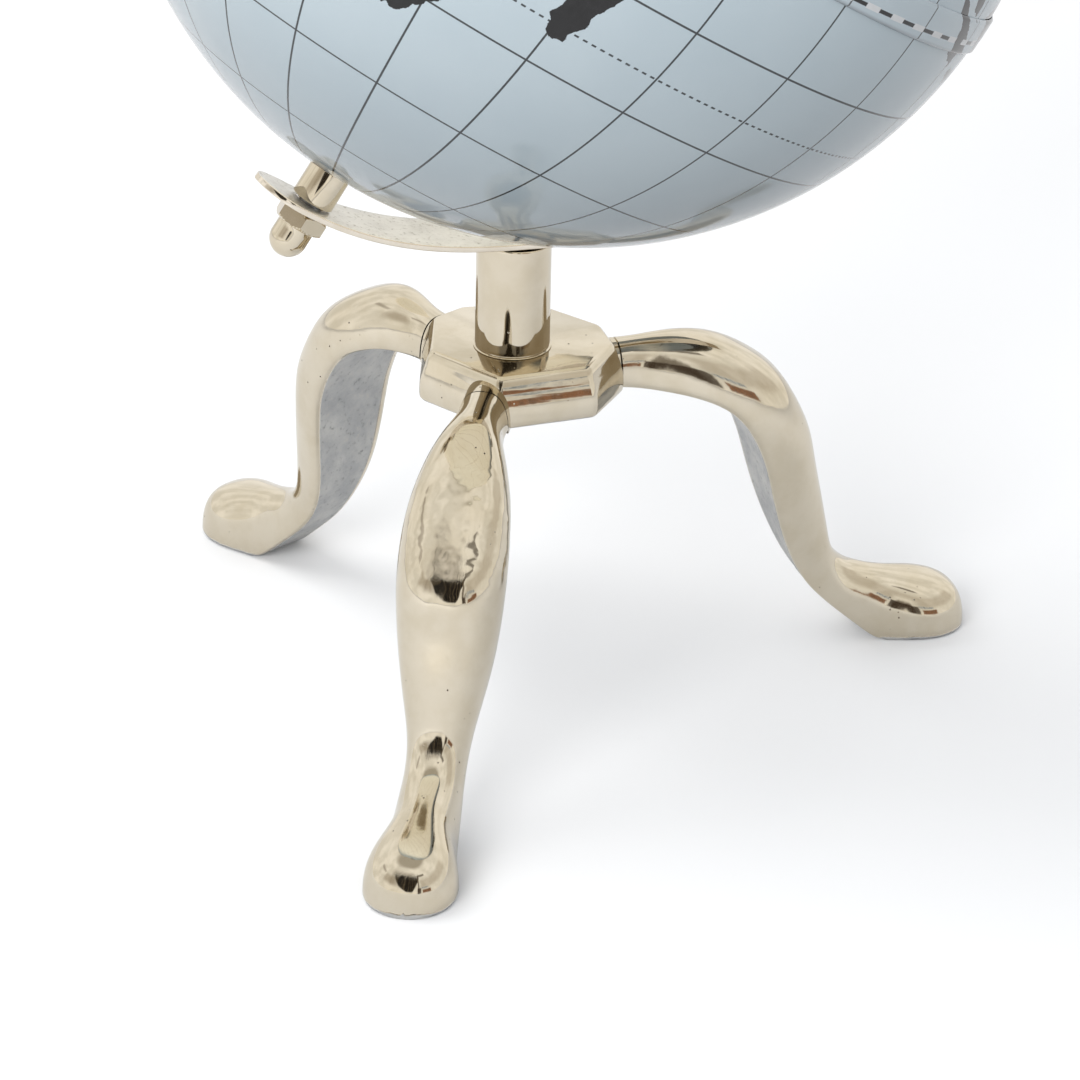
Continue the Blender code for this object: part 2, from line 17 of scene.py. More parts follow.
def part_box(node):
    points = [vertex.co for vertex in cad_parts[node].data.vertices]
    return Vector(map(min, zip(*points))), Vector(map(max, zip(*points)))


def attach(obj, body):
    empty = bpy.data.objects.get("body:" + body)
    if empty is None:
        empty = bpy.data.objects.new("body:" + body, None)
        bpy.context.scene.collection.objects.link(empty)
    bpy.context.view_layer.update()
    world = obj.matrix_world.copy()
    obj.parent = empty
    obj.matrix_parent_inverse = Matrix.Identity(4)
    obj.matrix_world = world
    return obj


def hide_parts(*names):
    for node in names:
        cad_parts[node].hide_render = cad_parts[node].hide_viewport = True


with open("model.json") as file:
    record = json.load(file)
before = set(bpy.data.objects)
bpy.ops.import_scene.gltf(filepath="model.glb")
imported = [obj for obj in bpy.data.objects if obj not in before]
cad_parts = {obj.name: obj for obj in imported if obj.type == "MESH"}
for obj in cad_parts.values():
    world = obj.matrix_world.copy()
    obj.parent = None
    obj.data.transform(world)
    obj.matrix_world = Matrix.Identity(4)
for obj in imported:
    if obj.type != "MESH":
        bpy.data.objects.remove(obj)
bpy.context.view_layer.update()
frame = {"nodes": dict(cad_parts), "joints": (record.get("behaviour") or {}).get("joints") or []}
MM = 0.001
DEG = 180 / math.pi

# ---- places read from the frame ---------------------------------------------
joint = frame["joints"][0]
CENTRE = Vector(joint["pos_m"])
AXIS = Vector(joint["axis"]).normalized()
if AXIS.z < 0:
    AXIS = -AXIS
TILT = math.degrees(math.atan2(AXIS.x, AXIS.z))
post_lo, post_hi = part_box("post")
POST = Vector(((post_lo.x + post_hi.x) / 2, (post_lo.y + post_hi.y) / 2, 0.0))
POST_R = (post_hi.y - post_lo.y) / 2 / MM
hub_lo, hub_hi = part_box("base_hub")
HUB_TOP, HUB_FOOT = hub_hi.z / MM, hub_lo.z / MM
TO_POST = Matrix.Translation(POST)
TO_AXIS = Matrix.Translation(CENTRE) @ Matrix.Rotation(math.radians(TILT), 4, "Y")

# ---- sizes shared between pieces, mm ----------------------------------------
GLOBE_R, SHELL, POLE_HOLE_R, GAP = 75.0, 1.6, 5.0, 0.3
AXLE_R, SPACER_R = 2.0, 3.6
STUD_BORE_R, SCREW_BORE_R = 2.8, 1.8
HUB_FLOOR = 3.5     # thickness of the hub above its recess

# Each leg: azimuth in degrees, then offset across, neck radius, reach, and how far its
# knee moves out and up.
LEGS = {
    "front": (240.8, -1.8, 16.2, 81.5, 0.0, 0.0),
    "right": (358.0, 0.0, 18.0, 83.4, 0.0, 0.0),
    "left": (113.5, 0.0, 18.2, 78.3, 2.6, 1.7),
}
# Stations from neck to toe: inner r, z, outer r, z, half width.
LEG_STATIONS = (
    (16.5, 54.4, 16.5, 61.7, 4.3), (19.5, 54.1, 19.8, 61.7, 4.1),
    (23.0, 53.5, 24.2, 61.9, 4.8), (27.0, 52.5, 29.0, 61.7, 6.1),
    (31.0, 51.2, 34.6, 60.2, 7.4), (34.6, 49.3, 39.9, 57.3, 8.3),
    (37.4, 46.3, 44.5, 53.6, 8.8), (39.6, 42.4, 48.0, 48.3, 9.0),
    (41.3, 38.0, 50.6, 42.6, 8.9), (42.6, 33.0, 52.0, 36.4, 8.5),
    (43.9, 28.3, 53.2, 31.0, 7.9), (45.3, 24.0, 54.35, 25.8, 7.1),
    (46.9, 20.0, 55.35, 21.2, 6.2), (48.8, 16.0, 56.3, 17.8, 5.4),
    (51.2, 12.2, 57.8, 15.8, 5.0), (54.6, 8.6, 59.6, 14.3, 5.0),
    (59.3, 4.4, 62.0, 13.2, 5.3), (64.3, 0.0, 65.4, 12.1, 5.7),
    (68.0, 0.0, 68.6, 11.3, 6.6), (71.6, 0.0, 71.9, 10.6, 7.5),
    (74.9, 0.0, 75.1, 9.8, 7.6), (77.7, 0.0, 77.8, 8.7, 6.8),
    (79.6, 0.0, 79.7, 7.3, 5.5), (80.8, 0.0, 80.8, 5.5, 3.9),
    (81.3, 0.0, 81.3, 3.6, 2.1),
)
LEG_REACH = LEG_STATIONS[-1][0]
# The front leg's flatter knee: station index to its own outer (r, z).
FRONT_KNEE = {
    3: (28.6, 61.6), 4: (33.4, 59.4), 5: (38.3, 55.6), 6: (43.0, 51.3), 7: (47.2, 46.8),
}
LEG_FULLNESS = 2.5   # superellipse exponent of the D section

# The printed map is set about a degree off the mechanical axis: directions of longitude 0,
# longitude 90 east and north, in the globe's rest position.
PRINT_AXES = (
    (-0.72108, -0.52029, 0.45753),
    (0.43954, -0.85399, -0.27841),
    (0.53558, 0.00035, 0.84448),
)
# True latitude: latitude at which it is drawn.
DRAWN = {0: 0, 15: 13.5, 23.44: 20.9, 30: 26.9, 45: 41.9, 60: 59.1, 75: 74.4, 90: 90}


# ---- mesh helpers -----------------------------------------------------------
def smooth(mesh, sharp):
    """Shade smooth, with edges over sharp degrees kept sharp."""
    mesh.shade_smooth()
    mesh.set_sharp_from_angle(angle=math.radians(sharp))


def mesh_of(name, verts, faces, sharp=40.0):
    """A mesh from vertices in mm."""
    mesh = bpy.data.meshes.new(name)
    mesh.from_pydata([tuple(float(c) * MM for c in v) for v in verts], [], faces)
    mesh.validate()
    bm = bmesh.new()
    bm.from_mesh(mesh)
    bmesh.ops.recalc_face_normals(bm, faces=bm.faces)
    bm.to_mesh(mesh)
    bm.free()
    smooth(mesh, sharp)
    return mesh


def mesh_from(name, bm):
    mesh = bpy.data.meshes.new(name)
    bm.to_mesh(mesh)
    bm.free()
    return mesh


def link(obj):
    bpy.context.scene.collection.objects.link(obj)
    return obj


def add_piece(name, mesh, slot, node, matrix=None):
    """A finished piece; its material slot also decides which body it rides."""
    obj = link(bpy.data.objects.new(name, mesh))
    if matrix is not None:
        mesh.transform(matrix)
    mat, body = SKINS[slot]
    mesh.materials.clear()
    mesh.materials.append(mat)
    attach(obj, body)
    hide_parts(node)


def float_attribute(mesh, name, values):
    made = mesh.attributes.new(name, "FLOAT", "POINT")
    made.data.foreach_set("value", np.asarray(values, np.float32))


def ring_faces(count, rings, closed=False):
    """Quads between consecutive rings of count points each."""
    faces = []
    for k in range(rings if closed else rings - 1):
        a, b = k * count, ((k + 1) % rings) * count
        for i in range(count):
            j = (i + 1) % count
            faces.append((a + i, b + i, b + j, a + j))
    return faces


def capped_faces(count, rings):
    """ring_faces with a face over each end."""
    last = (rings - 1) * count
    ends = [tuple(range(count)), tuple(range(last, last + count))]
    return ring_faces(count, rings) + ends


def circle(radius, z, steps, turn=0.0, slope=0.0):
    """Points of a circle round Z; slope is its rise per unit of x."""
    points = []
    for i in range(steps):
        angle = math.tau * i / steps + turn
        x = radius * math.cos(angle)
        points.append((x, radius * math.sin(angle), z + slope * x))
    return points


def rounded(profile, radius, steps):
    """The closed profile with each corner replaced by a small arc."""
    out = []
    for i, point in enumerate(profile):
        point = Vector(point)
        before = Vector(profile[i - 1]) - point
        after = Vector(profile[(i + 1) % len(profile)]) - point
        short = before.length < 1e-6 or after.length < 1e-6
        if short or before.angle(after) > math.radians(165):
            out.append(tuple(point))
            continue
        cut = min(radius, before.length * 0.4, after.length * 0.4)
        start, end = point + before.normalized() * cut, point + after.normalized() * cut
        for k in range(steps + 1):
            t = k / steps
            out.append(tuple(start * (1 - t) ** 2 + point * 2 * t * (1 - t) + end * t ** 2))
    return out


def lathe(name, profile, steps=96, radius=0.0, rounds=3, sharp=40.0):
    """A closed profile (r, z) turned about Z, its corners rounded by radius."""
    if radius:
        profile = rounded(profile, radius, rounds)
    verts = [v for r, z in profile for v in circle(r, z, steps)]
    return mesh_of(name, verts, ring_faces(steps, len(profile), closed=True), sharp)


def spline(knots, values, at):
    """Natural cubic spline through (knots, values), read at the points in at."""
    count, gap = len(knots), np.diff(knots)
    matrix = np.zeros((count, count))
    target = np.zeros(count)
    matrix[0, 0] = matrix[-1, -1] = 1
    for i in range(1, count - 1):
        matrix[i, i - 1:i + 2] = gap[i - 1], 2 * (gap[i - 1] + gap[i]), gap[i]
        rise, fall = values[i + 1] - values[i], values[i] - values[i - 1]
        target[i] = 6 * (rise / gap[i] - fall / gap[i - 1])
    bend = np.linalg.solve(matrix, target)
    k = np.clip(np.searchsorted(knots, at) - 1, 0, count - 2)
    past, left, span = at - knots[k], knots[k + 1] - at, gap[k]
    cubic = (bend[k] * left ** 3 + bend[k + 1] * past ** 3) / (6 * span)
    return (cubic + (values[k] / span - bend[k] * span / 6) * left
            + (values[k + 1] / span - bend[k + 1] * span / 6) * past)


def soften(values, sigma):
    """Gaussian smoothing along a list, with its ends kept."""
    n = int(sigma * 3) + 1
    kernel = np.exp(-0.5 * (np.arange(-n, n + 1) / sigma) ** 2)
    kernel /= kernel.sum()
    before = 2 * values[0] - values[n:0:-1]
    after = 2 * values[-1] - values[-2:-n - 2:-1]
    return np.convolve(np.concatenate([before, values, after]), kernel, "valid")


def smoothstep(x):
    x = min(max(x, 0.0), 1.0)
    return x * x * (3 - 2 * x)


def turned(x, y, angle):
    """The point (x, y) turned about the origin."""
    cos, sin = math.cos(angle), math.sin(angle)
    return x * cos - y * sin, x * sin + y * cos


# ---- boolean helpers --------------------------------------------------------
def temporary(mesh):
    return link(bpy.data.objects.new("temporary", mesh))


def combine(obj, other, operation="DIFFERENCE"):
    made = obj.modifiers.new("combine", "BOOLEAN")
    made.operation, made.solver, made.object = operation, "EXACT", other


def baked(obj, others, sharp):
    """obj's mesh with its modifiers applied; obj and the others are removed."""
    bpy.context.view_layer.update()
    graph = bpy.context.evaluated_depsgraph_get()
    mesh = bpy.data.meshes.new_from_object(obj.evaluated_get(graph))
    for spent in (obj, *others):
        bpy.data.objects.remove(spent, do_unlink=True)
    smooth(mesh, sharp)
    return mesh


def rod(radius, z0, z1, steps=48):
    """A temporary cylinder along Z, in mm."""
    bm = bmesh.new()
    bmesh.ops.create_cone(bm, cap_ends=True, segments=steps, radius1=radius * MM,
                          radius2=radius * MM, depth=(z1 - z0) * MM)
    bmesh.ops.translate(bm, vec=(0, 0, (z0 + z1) / 2 * MM), verts=bm.verts)
    return temporary(mesh_from("rod", bm))


# ---- node helpers -----------------------------------------------------------
class Shader:
    """Short forms for building the nodes of one material or world."""

    def __init__(self, name, world=False):
        self.block = (bpy.data.worlds if world else bpy.data.materials).new(name)
        self.block.use_nodes = True
        self.tree = self.block.node_tree

    def node(self, kind, inputs=None, **props):
        made = self.tree.nodes.new("ShaderNode" + kind)
        for key, value in props.items():
            setattr(made, key, value)
        for key, value in (inputs or {}).items():
            self.put(made.inputs[key], value)
        return made

    def put(self, socket, value):
        """Link a socket, or set a value; colours gain their alpha."""
        if isinstance(value, bpy.types.NodeSocket):
            self.tree.links.new(value, socket)
        elif isinstance(value, tuple) and len(value) == 3 and socket.type == "RGBA":
            socket.default_value = (*value, 1.0)
        else:
            socket.default_value = value

    def set(self, **values):
        """Inputs of the Principled BSDF, with _ for spaces."""
        for key, value in values.items():
            self.put(self.tree.nodes["Principled BSDF"].inputs[key.replace("_", " ")], value)

    def math(self, operation, *values):
        return self.node("Math", dict(enumerate(values)), operation=operation).outputs[0]

    def mul(self, *values):
        return reduce(lambda a, b: self.math("MULTIPLY", a, b), values)

    def vec(self, operation, *values):
        made = self.node("VectorMath", dict(enumerate(values)), operation=operation)
        return made.outputs["Value" if operation in ("DOT_PRODUCT", "LENGTH") else 0]

    def mix(self, factor, a, b, kind="RGBA"):
        inputs = {"Factor": factor, "A": a, "B": b}
        return self.node("Mix", inputs, data_type=kind).outputs["Result"]

    def mixf(self, factor, a, b):
        return self.mix(factor, a, b, "FLOAT")

    def step(self, value, low, high, to_low=0.0, to_high=1.0, smooth=True):
        """value eased from to_low at low up to to_high at high."""
        inputs = {"Value": value, "From Min": low, "From Max": high,
                  "To Min": to_low, "To Max": to_high}
        easing = "SMOOTHSTEP" if smooth else "LINEAR"
        return self.node("MapRange", inputs, interpolation_type=easing).outputs["Result"]

    def place(self):
        return self.node("TexCoord").outputs["Object"]

    def height(self):
        return self.node("SeparateXYZ", {"Vector": self.place()}).outputs[2]

    def noise(self, scale, detail=3.0, rough=0.5, vector=None):
        inputs = {"Vector": vector or self.place(), "Scale": scale, "Detail": detail,
                  "Roughness": rough}
        return self.node("TexNoise", inputs).outputs["Fac"]

    def stretched(self, sizes, scale):
        """Noise compressed along each axis by sizes."""
        mapped = self.node("Mapping", {"Vector": self.place(), "Scale": sizes}).outputs[0]
        return self.noise(scale, detail=2.0, rough=0.6, vector=mapped)

    def attribute(self, name):
        return self.node("Attribute", attribute_name=name).outputs["Fac"]

    def bump(self, height, distance, normal=None):
        """Bump by distance in metres, over an earlier normal."""
        inputs = {"Height": height, "Distance": distance, "Strength": 1.0}
        if normal is not None:
            inputs["Normal"] = normal
        return self.node("Bump", inputs).outputs[0]


# ---- metals and nylon -------------------------------------------------------
def nickel(name, colour, rough, wave, pits, grain, planished=None):
    """Warm nickel plate: faint waves, polishing lines, pin holes and dull patches.

    wave is the wave height in metres, pits the share of pin holes and grain the stretch of
    the polishing lines. planished, the centre of the planishing marks, is for castings only.
    """
    mat = Shader(name)
    cloud = mat.noise(170.0, detail=4.0, rough=0.6)
    fine = mat.stretched(grain, 2600.0)
    darker = tuple(c * k for c, k in zip(colour, (0.93, 0.915, 0.88)))
    tint = mat.mix(mat.step(cloud, 0.35, 0.7), colour, darker)
    haze = mat.step(mat.noise(420.0, detail=5.0, rough=0.65), 0.52, 0.72)
    roughness = mat.math("MULTIPLY_ADD", haze, 0.05, rough)
    roughness = mat.math("ADD", roughness, mat.mul(fine, 0.03))
    # pin holes: a few cells, in some zones only
    spots = mat.node("TexVoronoi", {"Vector": mat.place(), "Scale": 760.0})
    chance = mat.node("SeparateColor", {"Color": spots.outputs["Color"]}).outputs[0]
    rare = mat.step(chance, 1 - 0.30 * pits, 1 - 0.28 * pits)
    zone = mat.step(mat.noise(60.0, detail=2.0), 0.48, 0.62)
    pin = mat.mul(mat.step(spots.outputs["Distance"], 0.16, 0.06), rare, zone)
    base = mat.mix(mat.mul(pin, 0.85), tint, (0.05, 0.042, 0.035))
    roughness = mat.mixf(pin, roughness, 0.6)
    normal = mat.bump(mat.noise(75.0, detail=1.0, rough=0.4), wave * 3.2)
    normal = mat.bump(mat.noise(260.0, detail=2.0), wave * 0.5, normal)
    normal = mat.bump(fine, wave * 0.016, normal)
    if planished is not None:
        away = mat.vec("LENGTH", mat.vec("SUBTRACT", mat.place(), tuple(planished)))
        near = mat.step(away, 0.0165, 0.010)
        marks = mat.mul(mat.noise(340.0, detail=1.0, rough=0.4), near)
        normal = mat.bump(marks, 0.00022, normal)
    normal = mat.bump(pin, -0.00006, normal)
    metallic = 1.0
    if planished is not None:
        base, roughness, metallic, normal = bare_casting(mat, base, roughness, normal)
    mat.set(Base_Color=base, Roughness=roughness, Metallic=metallic, Normal=normal)
    return mat.block


def bare_casting(mat, base, roughness, normal):
    """Grey skin where "cast" marks unpolished metal, and on the ground rim at the floor."""
    bare = mat.step(mat.attribute("cast"), 0.40, 0.62)
    ragged = mat.math("MULTIPLY_ADD", mat.noise(300.0), 0.0010, 0.00015)
    rim = mat.step(mat.math("SUBTRACT", mat.height(), ragged), 0.00035, -0.0001)
    bare = mat.math("MAXIMUM", bare, rim)
    speckle = mat.noise(900.0, detail=6.0, rough=0.7)
    blotch = mat.noise(140.0, detail=4.0, rough=0.6)
    grey = mat.mix(mat.step(blotch, 0.3, 0.7), (0.66, 0.66, 0.645), (0.49, 0.50, 0.51))
    grey = mat.mix(mat.step(speckle, 0.54, 0.72, to_high=0.65), grey, (0.62, 0.60, 0.56))
    grey = mat.mix(mat.step(speckle, 0.44, 0.30, to_high=0.6), grey, (0.20, 0.205, 0.21))
    base = mat.mix(bare, base, grey)
    roughness = mat.mixf(bare, roughness, mat.step(speckle, 0.3, 0.7, 0.62, 0.42))
    rough_skin = mat.mul(mat.math("ADD", speckle, blotch), bare)
    return base, roughness, mat.mixf(bare, 1.0, 0.72), mat.bump(rough_skin, 0.00022, normal)


def strip_nickel(name):
    """Plated strip: bright edges and back, and a satin, speckled inner face."""
    mat = Shader(name)
    satin = mat.attribute("satin")
    speckle = mat.noise(1100.0, detail=6.0, rough=0.75)
    cloud = mat.noise(150.0, detail=4.0, rough=0.6)
    lines = mat.stretched((1, 14, 1), 900.0)
    bright = mat.mix(mat.step(cloud, 0.35, 0.7), (0.80, 0.735, 0.635), (0.74, 0.67, 0.56))
    dull = mat.mix(mat.step(cloud, 0.3, 0.7), (0.88, 0.87, 0.85), (0.74, 0.73, 0.71))
    dull = mat.mix(mat.step(speckle, 0.46, 0.33, to_high=0.7), dull, (0.33, 0.31, 0.28))
    dull = mat.mix(mat.step(speckle, 0.56, 0.70, to_high=0.7), dull, (0.86, 0.85, 0.82))
    normal = mat.bump(mat.noise(90.0, detail=1.0), 0.00006)
    normal = mat.bump(mat.mul(speckle, satin), 0.00007, normal)
    normal = mat.bump(lines, 0.0000012, normal)
    polished = mat.math("MULTIPLY_ADD", lines, 0.05, 0.06)
    mat.set(Base_Color=mat.mix(satin, bright, dull),
            Metallic=mat.mixf(satin, 1.0, 0.85),
            Roughness=mat.mixf(satin, polished, mat.step(speckle, 0.3, 0.7, 0.42, 0.28)),
            Normal=normal)
    return mat.block


def zinc_steel(name):
    mat = Shader(name)
    cloud = mat.noise(500.0, detail=5.0, rough=0.65)
    lines = mat.stretched((1, 1, 12), 1400.0)
    base = mat.mix(mat.step(cloud, 0.3, 0.7), (0.60, 0.61, 0.63), (0.44, 0.45, 0.47))
    dark = mat.step(mat.noise(1800.0), 0.62, 0.75, to_high=0.6)
    mat.set(Base_Color=mat.mix(dark, base, (0.30, 0.28, 0.25)), Metallic=1.0,
            Roughness=mat.step(cloud, 0.3, 0.7, 0.26, 0.42),
            Normal=mat.bump(lines, 0.00001, mat.bump(cloud, 0.00001)))
    return mat.block


def nylon(name):
    mat = Shader(name)
    cloud = mat.noise(400.0, detail=4.0, rough=0.6)
    base = mat.mix(mat.step(cloud, 0.3, 0.7), (0.80, 0.80, 0.78), (0.72, 0.72, 0.69))
    mat.set(Base_Color=base, Roughness=mat.step(cloud, 0.3, 0.7, 0.38, 0.5),
            Normal=mat.bump(mat.noise(2500.0, detail=2.0), 0.00001),
            Subsurface_Weight=0.1, Subsurface_Scale=0.001)
    return mat.block


# ---- the printed map --------------------------------------------------------
def ink(mat, distance, width, soft=0.05):
    """1 within half of width (mm) of a line, from a distance in degrees of arc."""
    far = mat.mul(distance, GLOBE_R * math.pi / 180)
    return mat.step(far, width / 2 + soft, width / 2 - soft)


def saw(mat, value, period):
    """Distance to the nearest multiple of period."""
    turn = mat.math("FRACT", mat.math("ADD", mat.math("DIVIDE", value, period), 0.5))
    return mat.mul(mat.math("ABSOLUTE", mat.math("SUBTRACT", turn, 0.5)), period)


def printed_lines(mat, lat, lon, cos_lat):
    """Parallels, meridians, dashed tropics and a dotted northern polar circle."""
    away = mat.math("ABSOLUTE", lat)

    def from_parallel(drawn):
        return mat.math("ABSOLUTE", mat.math("SUBTRACT", away, drawn))

    distances = [from_parallel(DRAWN[true]) for true in (15, 30, 45, 60)]
    nearest = reduce(lambda a, b: mat.math("MINIMUM", a, b), distances)
    parallels = ink(mat, nearest, width=0.34)
    meridians = ink(mat, mat.mul(saw(mat, lon, period=15.0), cos_lat), width=0.34)
    tropic = mat.mul(ink(mat, from_parallel(DRAWN[23.44]), width=0.34),
                     mat.step(saw(mat, lon, period=1.25), 0.27, 0.33, smooth=False))
    polar = mat.mul(ink(mat, from_parallel(66.2), width=0.3),
                    mat.step(saw(mat, lon, period=2.5), 0.55, 0.65, smooth=False),
                    mat.step(lat, 0.0, 1.0, smooth=False))
    grid = mat.math("MAXIMUM", parallels, meridians)
    return mat.math("MAXIMUM", grid, mat.math("MAXIMUM", tropic, polar))


def globe_print(name, band=False):
    """Glossy printed plastic, its pattern computed from latitude and longitude."""
    mat = Shader(name)
    unit = mat.vec("NORMALIZE", mat.vec("SUBTRACT", mat.place(), tuple(CENTRE)))
    x, y, z = (mat.vec("DOT_PRODUCT", unit, axis) for axis in PRINT_AXES)
    lat = mat.mul(mat.math("ARCSINE", z), DEG)
    lon = mat.mul(mat.math("ARCTAN2", y, x), DEG)
    cos_lat = mat.math("SQRT", mat.math("SUBTRACT", 1.0, mat.mul(z, z)))
    lines = printed_lines(mat, lat, lon, cos_lat)

    # equator scale: dark and light marks of 2.5 degrees each, set a little south
    phase = mat.math("FRACT", mat.math("DIVIDE", lon, 5.0))
    dark_mark = mat.step(phase, 0.49, 0.51, 1.0, 0.0, smooth=False)
    row = mat.math("ABSOLUTE", mat.math("ADD", lat, 1.5))
    dark_rows = mat.mul(ink(mat, row, width=0.62), dark_mark)
    light_rows = mat.mul(ink(mat, row, width=0.95), mat.math("SUBTRACT", 1.0, dark_mark))

    # patchy sea and ink
    patch = mat.noise(900.0, detail=5.0, rough=0.7)
    cloud = mat.noise(30.0, rough=0.55)
    sea = mat.mix(mat.step(cloud, 0.3, 0.7), (0.60, 0.705, 0.765), (0.555, 0.66, 0.725))
    specks = mat.step(mat.noise(1500.0, detail=4.0), 0.60, 0.78, to_high=0.35)
    sea = mat.mix(specks, sea, (0.62, 0.68, 0.74))
    black = mat.mix(mat.step(patch, 0.35, 0.7), (0.006, 0.006, 0.007), (0.014, 0.014, 0.016))
    colour = mat.mix(mat.mul(lines, 0.93), sea, black)
    if band:   # paler, with grey rims
        colour = mat.mix(0.10, colour, (0.72, 0.76, 0.80))
        rim = mat.step(mat.attribute("edge"), 0.75, 0.98)
        colour = mat.mix(mat.mul(rim, 0.30), colour, (0.25, 0.27, 0.30))
    shore_noise = mat.math("SUBTRACT", mat.noise(520.0, detail=4.0, rough=0.6), 0.5)
    shore = mat.math("ADD", mat.attribute("land"), mat.mul(shore_noise, 1.5))
    land = mat.step(shore, -0.05, 0.09)
    colour = mat.mix(land, colour, black)
    colour = mat.mix(light_rows, colour, (0.80, 0.82, 0.84))
    colour = mat.mix(dark_rows, colour, black)
    scuff = mat.step(mat.stretched((1, 1, 9), 700.0), 0.68, 0.80)
    gloss = mat.math("MULTIPLY_ADD", patch, 0.04, 0.05)
    height = mat.math("MAXIMUM", land, mat.math("MAXIMUM", lines, dark_rows))
    normal = mat.bump(mat.noise(160.0, detail=2.0), 0.000012)
    # painted warm glow on the underside, seen only in reflections: the print emits light there
    # for mirror rays, though the globe is no lamp
    spot = mat.node("SeparateXYZ", {"Vector": mat.place()}).outputs
    under = mat.mul(mat.step(spot[0], 0.018, 0.004), mat.step(spot[2], 0.138, 0.118),
                    mat.node("LightPath").outputs["Is Glossy Ray"])
    mat.set(Base_Color=colour, Roughness=mat.math("ADD", gloss, mat.mul(scuff, 0.10)),
            Normal=mat.bump(height, 0.000008, normal), IOR=1.5,
            Emission_Color=(0.95, 0.86, 0.69), Emission_Strength=mat.mul(under, 0.74))
    return mat.block


